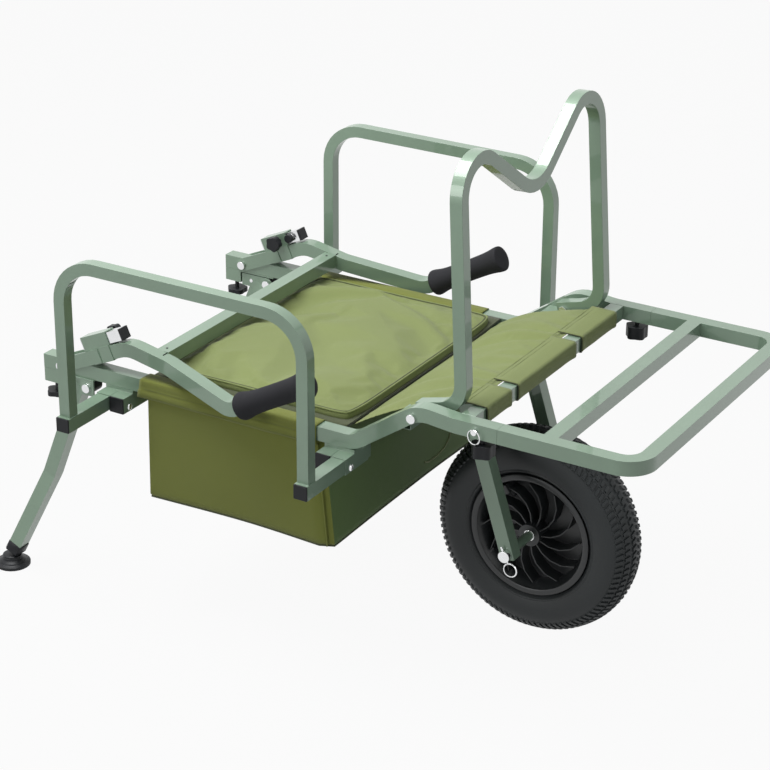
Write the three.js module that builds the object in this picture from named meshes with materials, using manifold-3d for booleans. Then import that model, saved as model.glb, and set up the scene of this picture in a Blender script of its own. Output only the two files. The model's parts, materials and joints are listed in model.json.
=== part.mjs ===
// A folding fishing trolley: one wheel, a square tube frame, a slung bag and loose pin and knob fittings.
// Millimetres, +Z up, +X forward, +Y to the trolley's left. The ground is Z = 0.
import * as THREE from 'three';
import { mergeVertices } from 'three/addons/utils/BufferGeometryUtils.js';
import Module from 'manifold-3d';

const wasm = await Module();
wasm.setup();

// Driving sizes of the frame

const gap = 0.3; // room left between neighbouring pieces
const overrun = 1; // how far a cutter runs past what it cuts
const railTube = 25;
const railWall = 1.5;
const hoopTube = 21;
const frontHoopTube = 22;
const hoopWall = 1.5;
const frameHalfWidth = 290; // to the outer faces of the side rails
const frontRailTop = 505;
const lowRailTop = 428.5;
const railRearX = -823;
const railJointX = 67; // where the rack meets the side rails
const rampFootX = -195;
const rampTopX = -75;
const humpRise = 6.5; // the bend's corner over the rail's front stretch
const levelX = -10;
const rampFootRadius = 42;
const rampTopRadius = 55;
const levelRadius = 60;
const bendStep = 9; // degrees turned at each ring of a bent tube
const roundSides = 16; // of bolts and pins
const nutSides = 6;
const hubSides = 32;
const wheelSides = 48;
const turnedSides = 24; // of grips and feet
const knobSides = 6; // to each lobe
const ringSides = 16;
const ringWireSides = 5;

const railY = frameHalfWidth - railTube / 2;
const frontRailZ = frontRailTop - railTube / 2;
const lowRailZ = lowRailTop - railTube / 2;
const lowRailBottom = lowRailTop - railTube;
const innerFaceY = frameHalfWidth - railTube;

// The wheel, its axle and the struts that hold it

const tyreRadius = 187;
const tyreHalfWidth = 44;
const tyreWall = 8;
const tyreCrown = 40; // from the tyre's widest place out to its tread
const rimFlangeRadius = 112;
const rimHalfWidth = 36;
const rimBarrelRadius = 96;
const rimWall = 4;
const hubRadius = 20;
const hubHalfLength = 37;
const vaneCount = 12;
const vaneThickness = 2.6;
const vaneSweep = 34; // degrees that a vane curls between hub and barrel
const webThickness = 4;
const bushRadius = 10;
const axleRadius = 6;
const axleHeadRadius = 10.5;
const axleHeadLength = 5;
const spacerRadius = 8.5;
const strutY = 105;
const strutLean = 17.5; // degrees, tops to the rear
const strutFootLength = 11; // below the axle
const forkBarZ = 464;
const forkBarSetback = 26.5; // behind the struts
const forkSocketTube = 30;
const forkSocketTopZ = 475;
const forkSocketFootZ = 414;
const forkKnobZ = 427;
const forkKnobStem = 12;
const strutTopZ = 467;
const runningGap = 0.1;

// The V hoop that folds down over the lid

const frontHoopPivotX = -85;
const frontHoopPivotZ = 487;
const frontHoopLegX = -15.5; // at the foot bend's corner
const frontHoopLean = 3.5; // degrees, top to the rear
const frontHoopSideGap = 10; // washer room to the rail
const frontHoopDrawIn = 10.5; // how much nearer the middle each leg is at its top
const frontHoopCornerHeight = 461.5; // along the leaning leg, over the foot
const frontHoopDipHeight = 297;
const frontHoopCrownRadius = 58;
const frontHoopDipRadius = 78;
const frontHoopFootRadius = 45;
const frontHoopToe = 12; // past the pivot
const frontHoopFootRise = 20; // of each foot, from its toe to the leg
const boltRadius = 4;
const boltHeadRadius = 8;
const boltHeadThickness = 5;

// The side hoops and the twin sockets under the rails

const hoopRearInset = 147; // from the rails' rear ends
const hoopRearX = railRearX + hoopRearInset;
const hoopFrontX = -205.5;
const hoopOverhang = 132;
const hoopOuterY = frameHalfWidth + hoopOverhang;
const hoopTop = 683;
const hoopCornerRadius = 70;
const stubTube = 25;
const stubReach = 54; // of a stub, in past the rail's outer face
const stubOverhang = 5; // of a stub, out past the hoop
const stubInnerY = frameHalfWidth - stubReach;
const stubOuterY = hoopOuterY + stubOverhang;
const socketTube = 28;
const socketWall = 1.2;
const socketOverhang = 26; // past the rail's outer face
const socketOuterY = frameHalfWidth + socketOverhang;
const socketLength = 70;
const saddleThickness = 6;
const socketPitch = 28.5;
const capThickness = 3;
const plugDepth = 12;

// The rack at the front

const rackFrontX = 316;
const rackInnerBarX = 148.5;
const rackCornerRadius = 38;
const spigotLength = 60;
const spigotRoot = 30; // the length held inside the rack's own tube
const spigotCollar = 14;
const rackKnobX = 37;
const rackPinX = 29;

// The folding handle

const handlePivotInset = 40; // from the rails' rear ends
const handlePivotX = railRearX + handlePivotInset;
const handleAngle = 24; // degrees that the sleeves rise from the rails
const sleeveTube = 28;
const armTube = 25;
const sleeveBore = armTube + 0.6;
const sleeveStart = 74;
const sleeveEnd = 118;
const cheekThickness = 3;
const cheekLength = 92;
const cheekToe = 12.5;
const guideStart = 62;
const guideEnd = 119;
const guideTube = 25;
const guideWall = 2;
const armCrest = 152; // from the pivot to the hump's corner
const armCrestRadius = 55;
const armSplayRun = 219; // forward of the pivot
const armSplayX = handlePivotX + armSplayRun; // where the arms start to spread
const armSplayZ = 462;
const armSplayRadius = 50;
const armLowRun = 375;
const armLowX = handlePivotX + armLowRun;
const armLowOutset = 26;
const armLowY = frameHalfWidth + armLowOutset;
const armLowZ = 434;
const armLowRadius = 45;
const gripEndRun = 523;
const gripEndX = handlePivotX + gripEndRun;
const gripEndOutset = 34;
const gripEndY = frameHalfWidth + gripEndOutset;
const gripEndZ = 516;
const gripLength = 154;
const gripRadius = 19.5;
const gripFlangeRadius = 24;
const gripFlangeLength = 14;
const gripCap = 4;
const handleBarRun = 197;
const handleBarX = handlePivotX + handleBarRun;
const lockBarSize = 20;
const lockBarRear = 58;
const lockBarChromeEnd = 149;
const lockBarCapEnd = 153;
const lockKnobAt = 103;
const lockStopAt = 128;
const lockStopRadius = 8;
const lockStopReach = 9;
const lockKnobRadius = 15;
const lockKnobHeight = 13;
const lockKnobStem = 12;

// The rear legs and their feet

const lockTubeLength = 34;
const legTube = 25;
const legPivotInset = 94; // from the rails' rear ends
const legPivotX = railRearX + legPivotInset;
const legPivotZ = 386.5;
const legHeadSize = 24; // the block under the rail that the leg is welded to
const legHeadRear = 57; // behind the pivot
const legHeadSetback = 21.5; // where the leg meets its head
const legHeadX = legPivotX - legHeadSetback;
const legKneeSetback = 97.5;
const legKneeX = legPivotX - legKneeSetback;
const legKneeZ = 195;
const legAnkleSetback = 169;
const legAnkleX = legPivotX - legAnkleSetback;
const legAnkleSplay = 26.5; // further out than the knee
const legAnkleZ = 38;
const legKneeRadius = 40;
const legPinBehind = 36; // behind the pivot
const legPlateThickness = 3;
const legPlateHalfLength = 14;
const legPlugLip = 10;
const legDrainRadius = 3;
const footRadius = 32;
const footDisc = 5;
const footNeckRadius = 15;
const footHeight = 21;
const footBallZ = 16;
const footBallRadius = 6.5;
const footStudRadius = 3.2;
const footCupRadius = 8.2;

// Knobs and ring pins

const knobRadius = 20;
const bracketKnobRadius = 20;
const bracketKnobHeight = 9;
const bracketKnobStem = 17;
const knobHeight = 22;
const knobLobes = 5;
const knobLobeDepth = 3.5;
const knobStem = 10;
const stemRadius = 4;
const smallKnobRadius = 11;
const smallKnobHeight = 14;
const pinRadius = 3.5;
const pinHeadRadius = 5;
const pinHeadThickness = 3;
const ringRadius = 12;
const ringLift = 4; // of the ring's top over its pin's middle
const ringWire = 1.2;
const ringSpin = 12; // degrees that a pull ring turns towards the front

// The bag, its lid and the apron

const bagRearInset = 209; // from the rails' rear ends
const bagRearTopX = railRearX + bagRearInset;
const bagRearDraft = -6; // the foot stands out past the top
const bagRearFootX = bagRearTopX + bagRearDraft;
const bagFrontTopX = -257;
const bagFrontFootX = -239;
const bagSideInset = 2;
const bagHalfWidth = frameHalfWidth - bagSideInset;
const bagSideDraft = 4;
const bagFootHalfWidth = bagHalfWidth - bagSideDraft;
const bagFloorZ = 201;
const lidRearInset = 219;
const lidRearX = railRearX + lidRearInset;
const lidFrontX = -222;
const lidSideInset = 38; // inside the rails' outer faces
const lidHalfWidth = frameHalfWidth - lidSideInset;
const lidEdgeTop = 438;
const lidCrown = 11;
const lidCornerRadius = 22;
const lidSideDraw = 5; // how far the lid's sides pull in halfway along
const clothThickness = 3;
const apronInset = 63; // inside the rails' outer faces, clear of the hoop's feet
const apronHalfWidth = frameHalfWidth - apronInset;
const apronRearX = -217;
const apronRearZ = 436;
const apronSwell = 17;
const apronFlare = 23; // wider on each side at the lid
const apronFlareShare = 0.5; // of its run
const apronFoldDepth = 2.2;
const apronFolds = 5;
const sleeveClothGap = 0.6;

const DEG = Math.PI / 180;

// Colours measured by eye from the photograph

const paint = { color: 0x7d9284, roughness: 0.45, metalness: 0.25 };
const blackPlastic = { color: 0x1c1d1f, roughness: 0.55, metalness: 0 };
const foam = { color: 0x2a2b2d, roughness: 0.9, metalness: 0 };
const rubber = { color: 0x1e1f21, roughness: 0.8, metalness: 0 };
const chrome = { color: 0xd8dadb, roughness: 0.2, metalness: 1 };
const cloth = { color: 0x7f8a4e, roughness: 0.85, metalness: 0 };
const darkCloth = { color: 0x4c5b37, roughness: 0.85, metalness: 0 };

const group = new THREE.Group();
group.name = 'fishing_trolley';

// Solids and meshes

function solidOf(geometry) {
  const bare = geometry.clone();
  bare.deleteAttribute('normal');
  bare.deleteAttribute('uv');
  const merged = mergeVertices(bare, 1e-4);
  const mesh = new wasm.Mesh({
    numProp: 3,
    vertProperties: Float32Array.from(merged.attributes.position.array),
    triVerts: Uint32Array.from(merged.index.array),
  });
  mesh.merge();
  return new wasm.Manifold(mesh);
}

function geometryOf(solid) {
  const mesh = solid.getMesh();
  const geometry = new THREE.BufferGeometry();
  geometry.setAttribute('position', new THREE.BufferAttribute(mesh.vertProperties, 3));
  geometry.setIndex(new THREE.BufferAttribute(mesh.triVerts, 1));
  geometry.computeVertexNormals();
  return geometry;
}

function join(...solids) {
  return solids.reduce((sum, next) => sum.add(next));
}

function cut(solid, ...cutters) {
  return cutters.reduce((left, next) => left.subtract(next), solid);
}

function addPiece(name, solid, look) {
  const mesh = new THREE.Mesh(geometryOf(solid), new THREE.MeshStandardMaterial(look));
  mesh.name = name;
  group.add(mesh);
}

function moved(geometry, x, y, z) {
  return geometry.translate(x, y, z);
}

function box(x0, x1, y0, y1, z0, z1) {
  const geometry = new THREE.BoxGeometry(x1 - x0, y1 - y0, z1 - z0);
  return solidOf(moved(geometry, (x0 + x1) / 2, (y0 + y1) / 2, (z0 + z1) / 2));
}

// A round bar between two points
function rod(from, to, radius, sideCount = roundSides) {
  const along = new THREE.Vector3().subVectors(to, from);
  const geometry = new THREE.CylinderGeometry(radius, radius, along.length(), sideCount);
  const turn = new THREE.Quaternion().setFromUnitVectors(new THREE.Vector3(0, 1, 0), along.clone().normalize());
  geometry.applyQuaternion(turn);
  const middle = new THREE.Vector3().addVectors(from, to).multiplyScalar(0.5);
  return solidOf(moved(geometry, middle.x, middle.y, middle.z));
}

function point(x, y, z) {
  return new THREE.Vector3(x, y, z);
}

// A solid of revolution about the Y axis through (x, z), from [radius, y] pairs
function turned(profile, x, z) {
  const points = profile.map(([radius, along]) => new THREE.Vector2(radius, along));
  return solidOf(moved(new THREE.LatheGeometry(points, wheelSides), x, 0, z));
}

// Bent tubes: straight runs joined by true arcs, with a ring only where the tube turns

class BentPath extends THREE.Curve {
  constructor(corners, radii) {
    super();
    this.stations = [];
    this.addStation(corners[0], corners[1].clone().sub(corners[0]).normalize());
    for (let i = 1; i < corners.length - 1; i += 1) {
      this.addBend(corners[i - 1], corners[i], corners[i + 1], radii[i - 1]);
    }
    const last = corners[corners.length - 1];
    this.addStation(last, last.clone().sub(corners[corners.length - 2]).normalize());
  }

  addStation(position, tangent) {
    this.stations.push({ position: position.clone(), tangent: tangent.clone() });
  }

  addBend(before, corner, after, radius) {
    const arriving = corner.clone().sub(before).normalize();
    const leaving = after.clone().sub(corner).normalize();
    const turn = arriving.angleTo(leaving);
    const inward = leaving.clone().sub(arriving).normalize();
    const centre = corner.clone().addScaledVector(inward, radius / Math.cos(turn / 2));
    const start = corner.clone().addScaledVector(arriving, -radius * Math.tan(turn / 2));
    const outward = start.clone().sub(centre).normalize();
    const rings = Math.max(2, Math.round(turn / (bendStep * DEG)));
    for (let ring = 0; ring <= rings; ring += 1) {
      const angle = (turn * ring) / rings;
      const position = centre.clone();
      position.addScaledVector(outward, radius * Math.cos(angle));
      position.addScaledVector(arriving, radius * Math.sin(angle));
      const tangent = outward.clone().multiplyScalar(-Math.sin(angle)).addScaledVector(arriving, Math.cos(angle));
      this.addStation(position, tangent);
    }
  }

  get steps() {
    return this.stations.length - 1;
  }

  getUtoTmapping(u) {
    return u;
  }

  getPoint(t, target = new THREE.Vector3()) {
    return target.copy(this.stations[Math.round(t * this.steps)].position);
  }

  getTangent(t, target = new THREE.Vector3()) {
    return target.copy(this.stations[Math.round(t * this.steps)].tangent);
  }
}

function square(size) {
  const half = size / 2;
  const corners = [[-half, -half], [half, -half], [half, half], [-half, half]];
  return corners.map(([x, y]) => new THREE.Vector2(x, y));
}

function tube(corners, radii, size, wall) {
  const path = new BentPath(corners, radii);
  const section = new THREE.Shape(square(size));
  if (wall > 0) section.holes.push(new THREE.Path(square(size - 2 * wall)));
  return solidOf(new THREE.ExtrudeGeometry(section, { steps: path.steps, extrudePath: path }));
}

function straightTube(from, to, size, wall) {
  return tube([from, to], [], size, wall);
}

// A flat plate in the XZ plane, from an outline of [x, z] pairs, between two Y values
function plate(outline, y0, y1) {
  const shape = new THREE.Shape(outline.map(([x, z]) => new THREE.Vector2(x, z)));
  const geometry = new THREE.ExtrudeGeometry(shape, { depth: y1 - y0, bevelEnabled: false });
  geometry.rotateX(Math.PI / 2);
  return solidOf(moved(geometry, 0, y1, 0));
}

// Each side of the trolley is made by the same functions: side is -1 on the right and 1 on the left

const sides = [['right', -1], ['left', 1]];

function sideBox(side, x0, x1, yNear, yFar, z0, z1) {
  const a = side * yNear;
  const b = side * yFar;
  return box(x0, x1, Math.min(a, b), Math.max(a, b), z0, z1);
}

function sidePlate(side, outline, yNear, yFar) {
  const a = side * yNear;
  const b = side * yFar;
  return plate(outline, Math.min(a, b), Math.max(a, b));
}

function crossRod(side, x, z, yNear, yFar, radius, sideCount = roundSides) {
  return rod(point(x, side * yNear, z), point(x, side * yFar, z), radius, sideCount);
}

// Side rails, with the holes that the bolts and pins pass through

function railCorners(y) {
  return [
    point(railRearX, y, lowRailZ),
    point(rampFootX, y, lowRailZ),
    point(rampTopX, y, frontRailZ + humpRise),
    point(levelX, y, frontRailZ),
    point(railJointX, y, frontRailZ),
  ];
}

function addSideRail(name, side) {
  const radii = [rampFootRadius, rampTopRadius, levelRadius];
  const rail = tube(railCorners(side * railY), radii, railTube, railWall);
  const inner = innerFaceY - overrun;
  const outer = frameHalfWidth + overrun;
  const holes = [
    crossRod(side, handlePivotX, lowRailZ, inner, outer, boltRadius + gap),
    crossRod(side, frontHoopPivotX, frontHoopPivotZ, inner, outer, boltRadius + gap),
    crossRod(side, rackPinX, frontRailZ, railY, outer, pinRadius + gap),
    rod(
      point(rackKnobX, side * railY, frontRailZ),
      point(rackKnobX, side * railY, frontRailZ - railTube),
      stemRadius + gap,
    ),
  ];
  addPiece(`chassis_rail_${name}`, cut(rail, ...holes), paint);
}

function addFrontCrossbar() {
  const reach = innerFaceY - gap;
  const x = levelX + railTube / 2 + gap;
  const bar = straightTube(point(x, -reach, frontRailZ), point(x, reach, frontRailZ), railTube, railWall);
  addPiece('front_crossbar', bar, paint);
}

// The hidden crossbar behind it carries the two sockets of the wheel struts

const strutRun = Math.tan(strutLean * DEG);
const forkBarX = -(forkBarZ - tyreRadius) * strutRun - forkBarSetback;

function strutPoint(z, side) {
  return point(-(z - tyreRadius) * strutRun, side * strutY, z);
}

function addForkCrossbar() {
  const reach = innerFaceY - gap;
  let bar = straightTube(point(forkBarX, -reach, forkBarZ), point(forkBarX, reach, forkBarZ), railTube, railWall);
  for (const [, side] of sides) {
    const top = strutPoint(forkSocketTopZ, side);
    const foot = strutPoint(forkSocketFootZ, side);
    bar = join(bar, straightTube(top, foot, forkSocketTube, 0));
  }
  for (const [, side] of sides) {
    const bore = straightTube(
      strutPoint(strutTopZ + gap, side),
      strutPoint(forkSocketFootZ - forkSocketTube, side),
      railTube + 2 * gap,
      0,
    );
    const knob = forkKnobPlace(side);
    bar = cut(bar, bore, rod(knob.seat, knob.tip, stemRadius + gap));
  }
  bar = cut(bar, rod(point(forkBarX, 0, forkBarZ - railTube), point(forkBarX, 0, forkBarZ), stemRadius));
  addPiece('fork_crossbar', bar, paint);
}

// Wheel struts, leaning, each with the spacer tube that runs in to the hub

function addWheelStrut(name, side) {
  const down = strutPoint(0, side).sub(strutPoint(tyreRadius, side)).normalize();
  const foot = strutPoint(tyreRadius, side).addScaledVector(down, strutFootLength);
  const strut = straightTube(strutPoint(strutTopZ, side), foot, railTube, railWall);
  const spacer = crossRod(side, 0, tyreRadius, hubHalfLength + gap, strutY, spacerRadius);
  const bore = crossRod(side, 0, tyreRadius, 0, strutY + railTube, axleRadius + gap);
  addPiece(`wheel_strut_${name}`, cut(join(strut, spacer), bore), paint);
}

// Wheel

function addTyre() {
  const bead = rimFlangeRadius - rimWall;
  const shape = [
    [bead, rimHalfWidth - 2 * rimWall],
    [rimFlangeRadius + gap + rimWall, rimHalfWidth],
    [rimFlangeRadius + tyreWall, tyreHalfWidth - rimWall],
  ];
  const crownSteps = 5;
  for (let i = 0; i < crownSteps; i += 1) {
    const angle = (Math.PI / 2) * (i / crownSteps);
    const radius = tyreRadius - tyreCrown * (1 - Math.sin(angle));
    shape.push([radius, tyreHalfWidth * Math.cos(angle)]);
  }
  shape.push([tyreRadius, runningGap]);
  const inside = [
    [bead, rimHalfWidth - 2 * rimWall - tyreWall],
    [rimFlangeRadius + tyreWall, rimHalfWidth - tyreWall],
    [tyreRadius - tyreCrown, tyreHalfWidth - tyreWall],
    [tyreRadius - tyreCrown / 2, tyreHalfWidth - 2 * tyreWall],
    [tyreRadius - tyreWall, 0],
  ];
  const mirrored = (points) => points.map(([radius, y]) => [radius, -y]).reverse();
  const outer = [...shape, ...mirrored(shape)];
  const inner = [...inside, ...mirrored(inside).slice(1)].reverse();
  const profile = [...outer, ...inner, outer[0]];
  addPiece('tyre', turned(profile.map(([radius, y]) => [radius, -y]), 0, tyreRadius), rubber);
}

function vane(index) {
  const inner = hubRadius - overrun;
  const outer = rimBarrelRadius - rimWall + overrun;
  const start = (index / vaneCount) * 2 * Math.PI;
  const pieces = 4;
  const near = [];
  const far = [];
  for (let i = 0; i <= pieces; i += 1) {
    const share = i / pieces;
    const radius = inner + (outer - inner) * share;
    const angle = start + vaneSweep * DEG * share ** 1.5;
    const half = vaneThickness / 2 / radius;
    near.push([radius * Math.cos(angle - half), radius * Math.sin(angle - half)]);
    far.push([radius * Math.cos(angle + half), radius * Math.sin(angle + half)]);
  }
  const depth = hubHalfLength - 2 * rimWall;
  return plate([...near, ...far.reverse()], -depth, depth);
}

function addRim() {
  const bed = rimBarrelRadius;
  const seat = rimFlangeRadius - rimWall - gap;
  const half = rimHalfWidth;
  const well = half / 2;
  const profile = [
    [bushRadius + gap, -hubHalfLength],
    [hubRadius, -hubHalfLength],
    [hubRadius, -webThickness / 2],
    [bed - rimWall, -webThickness / 2],
    [bed - rimWall, -well],
    [seat - 2 * rimWall, 2 * rimWall - half],
    [seat - rimWall, -half],
    [rimFlangeRadius, -half],
    [rimFlangeRadius, gap + rimWall / 4 - half],
    [seat, 2 * rimWall - gap - half],
    [seat, rimWall + tyreWall - half],
    [bed, -well / 2],
  ];
  const other = profile.map(([radius, y]) => [radius, -y]).reverse();
  const rim = turned([...profile, ...other, profile[0]], 0, 0);
  const vanes = [];
  for (let index = 0; index < vaneCount; index += 1) vanes.push(vane(index));
  const whole = join(rim, ...vanes).translate([0, 0, tyreRadius]);
  const bore = rod(
    point(0, -2 * hubHalfLength, tyreRadius),
    point(0, 2 * hubHalfLength, tyreRadius),
    bushRadius + gap,
    hubSides,
  );
  addPiece('rim', cut(whole, bore), blackPlastic);
}

function addHubBush() {
  const outer = rod(point(0, -hubHalfLength, tyreRadius), point(0, hubHalfLength, tyreRadius), bushRadius, hubSides);
  const bore = rod(
    point(0, -2 * hubHalfLength, tyreRadius),
    point(0, 2 * hubHalfLength, tyreRadius),
    axleRadius + runningGap,
    hubSides,
  );
  addPiece('hub_bush', cut(outer, bore), chrome);
}

const strutOuterY = strutY + railTube / 2;
const linchpinY = strutOuterY + gap + axleHeadLength;
const linchpinLean = 25; // degrees from upright

function linchpinPoint(along) {
  const angle = linchpinLean * DEG;
  return point(along * Math.sin(angle), -linchpinY, tyreRadius - along * Math.cos(angle));
}

function addAxle() {
  const reach = linchpinY + axleHeadLength;
  const shaft = crossRod(1, 0, tyreRadius, -reach, strutOuterY + gap + axleHeadLength, axleRadius, hubSides);
  const farHead = crossRod(1, 0, tyreRadius, strutOuterY + gap, strutOuterY + gap + axleHeadLength, axleHeadRadius);
  const nearHead = crossRod(-1, 0, tyreRadius, strutOuterY + gap, reach, axleHeadRadius);
  const pinHole = rod(linchpinPoint(-2 * axleHeadRadius), linchpinPoint(2 * axleHeadRadius), pinRadius / 2 + gap);
  addPiece('axle', cut(join(shaft, farHead, nearHead), pinHole), chrome);
}

function ring(centre, radius, wire, spin) {
  const geometry = new THREE.TorusGeometry(radius, wire, ringWireSides, ringSides);
  geometry.rotateX(Math.PI / 2);
  geometry.rotateZ(spin);
  return solidOf(moved(geometry, centre.x, centre.y, centre.z));
}

function addLinchpin() {
  const tail = linchpinPoint(-axleHeadRadius - 2 * pinRadius);
  const head = linchpinPoint(axleHeadRadius + pinRadius);
  const shaft = rod(tail, head, pinRadius / 2);
  const eye = ring(linchpinPoint(axleHeadRadius + pinRadius + ringRadius), ringRadius, ringWire, 0);
  addPiece('linchpin', join(shaft, eye), chrome);
}

// Star knobs: a lobed head on a stem. The tip is where the stem ends and seat is where the head starts.

function lobedShape(radius) {
  const points = [];
  const count = knobLobes * knobSides;
  for (let i = 0; i < count; i += 1) {
    const angle = (i / count) * 2 * Math.PI;
    const reach = radius - (knobLobeDepth * radius) / knobRadius / 2 * (1 - Math.cos(knobLobes * angle));
    points.push(new THREE.Vector2(reach * Math.cos(angle), reach * Math.sin(angle)));
  }
  return new THREE.Shape(points);
}

function knobSolid(seat, tip, radius, height) {
  const axis = seat.clone().sub(tip).normalize();
  const head = new THREE.ExtrudeGeometry(lobedShape(radius), { depth: height, bevelEnabled: false });
  head.applyQuaternion(new THREE.Quaternion().setFromUnitVectors(new THREE.Vector3(0, 0, 1), axis));
  const stem = rod(tip, seat.clone().addScaledVector(axis, height / 2), stemRadius);
  return join(solidOf(moved(head, seat.x, seat.y, seat.z)), stem);
}

function forkKnobPlace(side) {
  const middle = strutPoint(forkKnobZ, side);
  const forward = point(Math.cos(strutLean * DEG), 0, Math.sin(strutLean * DEG));
  const tip = middle.clone().addScaledVector(forward, railTube / 2 + 2 * gap);
  const seat = middle.clone().addScaledVector(forward, forkSocketTube / 2 + forkKnobStem);
  return { seat, tip };
}

function addForkKnob(name, side) {
  const { seat, tip } = forkKnobPlace(side);
  addPiece(`fork_knob_${name}`, knobSolid(seat, tip, smallKnobRadius, smallKnobHeight), blackPlastic);
}

function addHangingKnob(nodeName, x, y, tipZ, seatZ, radius, height) {
  const solid = knobSolid(point(x, y, seatZ), point(x, y, tipZ), radius, height);
  addPiece(nodeName, solid, blackPlastic);
}

// Ring pins push in from the side: a shaft, a collar that stays outside and a pull ring

function ringPin(side, x, z, tipY, collarY) {
  const shaft = crossRod(side, x, z, tipY, collarY + pinHeadThickness / 2, pinRadius);
  const collar = crossRod(side, x, z, collarY, collarY + 2 * pinHeadThickness, pinHeadRadius);
  const eyeCentre = point(x, side * (collarY + 1.5 * pinHeadThickness), z - ringRadius + ringLift);
  return join(shaft, collar, ring(eyeCentre, ringRadius, ringWire, side * ringSpin * DEG));
}

// The V hoop with its feet turned to the rear, pivoted inside the rails

const frontHoopY = innerFaceY - frontHoopSideGap - frontHoopTube / 2;
const frontHoopTopY = frontHoopY - frontHoopDrawIn;

function onFrontHoop(y, height) {
  const lean = frontHoopLean * DEG;
  return point(frontHoopLegX - height * Math.sin(lean), y, frontHoopPivotZ + height * Math.cos(lean));
}

function addFrontHoop() {
  const toe = frontHoopPivotX - frontHoopToe;
  const corners = [
    point(toe, -frontHoopY, frontHoopPivotZ),
    onFrontHoop(-frontHoopY, frontHoopFootRise),
    onFrontHoop(-frontHoopTopY, frontHoopCornerHeight),
    onFrontHoop(0, frontHoopDipHeight),
    onFrontHoop(frontHoopTopY, frontHoopCornerHeight),
    onFrontHoop(frontHoopY, frontHoopFootRise),
    point(toe, frontHoopY, frontHoopPivotZ),
  ];
  const crown = frontHoopCrownRadius;
  const radii = [frontHoopFootRadius, crown, frontHoopDipRadius, crown, frontHoopFootRadius];
  const hoop = tube(corners, radii, frontHoopTube, hoopWall);
  const reach = frameHalfWidth;
  const bore = crossRod(1, frontHoopPivotX, frontHoopPivotZ, -reach, reach, boltRadius + gap);
  addPiece('front_hoop', cut(hoop, bore), paint);
}

function addFrontHoopBolt(name, side) {
  const x = frontHoopPivotX;
  const z = frontHoopPivotZ;
  const inner = frontHoopY - frontHoopTube / 2 - boltHeadThickness;
  const head = crossRod(side, x, z, frameHalfWidth + gap, frameHalfWidth + gap + boltHeadThickness, boltHeadRadius);
  const nut = crossRod(side, x, z, inner, frontHoopY - frontHoopTube / 2 - gap, boltHeadRadius, nutSides);
  const washerRoom = (frontHoopSideGap - 2 * gap) / 2;
  const middle = innerFaceY - frontHoopSideGap / 2;
  const washer = crossRod(side, x, z, middle - washerRoom, middle + washerRoom, boltHeadRadius);
  const shaft = crossRod(side, x, z, inner, frameHalfWidth + boltHeadThickness, boltRadius);
  addPiece(`front_hoop_bolt_${name}`, join(head, nut, washer, shaft), chrome);
}

// Side hoops: a bent tube standing on two stubs that push into the sockets

const stubZ = lowRailBottom - gap - saddleThickness - socketTube / 2;
const hoopY = hoopOuterY - hoopTube / 2;

function addSideHoop(name, side) {
  const y = side * hoopY;
  const corners = [
    point(hoopRearX, y, stubZ + stubTube / 2 - hoopWall / 2),
    point(hoopRearX, y, hoopTop - hoopTube / 2),
    point(hoopFrontX, y, hoopTop - hoopTube / 2),
    point(hoopFrontX, y, stubZ + stubTube / 2 - hoopWall / 2),
  ];
  let hoop = tube(corners, [hoopCornerRadius, hoopCornerRadius], hoopTube, hoopWall);
  for (const x of [hoopRearX, hoopFrontX]) {
    const stub = straightTube(
      point(x, side * stubInnerY, stubZ),
      point(x, side * stubOuterY, stubZ),
      stubTube,
      railWall,
    );
    hoop = join(hoop, stub);
  }
  const bore = hoopTube / 2 - hoopWall;
  for (const x of [hoopRearX, hoopFrontX]) {
    const drain = sideBox(side, x - bore, x + bore, hoopY - bore, hoopY + bore, stubZ, stubZ + stubTube);
    hoop = cut(hoop, drain);
  }
  addPiece(`side_hoop_${name}`, hoop, paint);
}

// A black cap pushed into an open tube end: a plate and a plug
function tubeCap(side, x, z, endY, outer, bore) {
  const half = outer / 2;
  const core = bore / 2 - gap;
  const lip = sideBox(side, x - half, x + half, endY + gap, endY + gap + capThickness, z - half, z + half);
  const plug = sideBox(side, x - core, x + core, endY - plugDepth, endY + capThickness, z - core, z + core);
  return join(lip, plug);
}

function addHoopCaps(name, side) {
  for (const [place, x] of [['rear', hoopRearX], ['front', hoopFrontX]]) {
    const solid = tubeCap(side, x, stubZ, stubOuterY, stubTube, stubTube - 2 * railWall);
    addPiece(`hoop_cap_${place}_${name}`, solid, blackPlastic);
  }
}

// Twin sockets welded under the rails: one takes the hoop's stub, the other is spare and plugged

function addTwinSocket(place, name, side, x, inward) {
  const spareX = x + inward * socketPitch;
  const innerY = socketOuterY - socketLength;
  const half = socketTube / 2;
  const bore = half - socketWall;
  let block = join(
    sideBox(side, x - half, x + half, innerY, socketOuterY, stubZ - half, stubZ + half),
    sideBox(side, spareX - half, spareX + half, innerY, socketOuterY, stubZ - half, stubZ + half),
    sideBox(
      side,
      Math.min(x, spareX) - half,
      Math.max(x, spareX) + half,
      innerFaceY,
      frameHalfWidth,
      stubZ,
      lowRailBottom - gap,
    ),
  );
  for (const at of [x, spareX]) {
    const end = socketOuterY + overrun;
    block = cut(block, sideBox(side, at - bore, at + bore, innerY - overrun, end, stubZ - bore, stubZ + bore));
  }
  addPiece(`twin_socket_${place}_${name}`, block, paint);
  const plug = tubeCap(side, spareX, stubZ, socketOuterY, socketTube, 2 * bore);
  addPiece(`socket_plug_${place}_${name}`, plug, blackPlastic);
}

// Front rack: one bent tube, an inner bar and two spigots that push into the side rails

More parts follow.
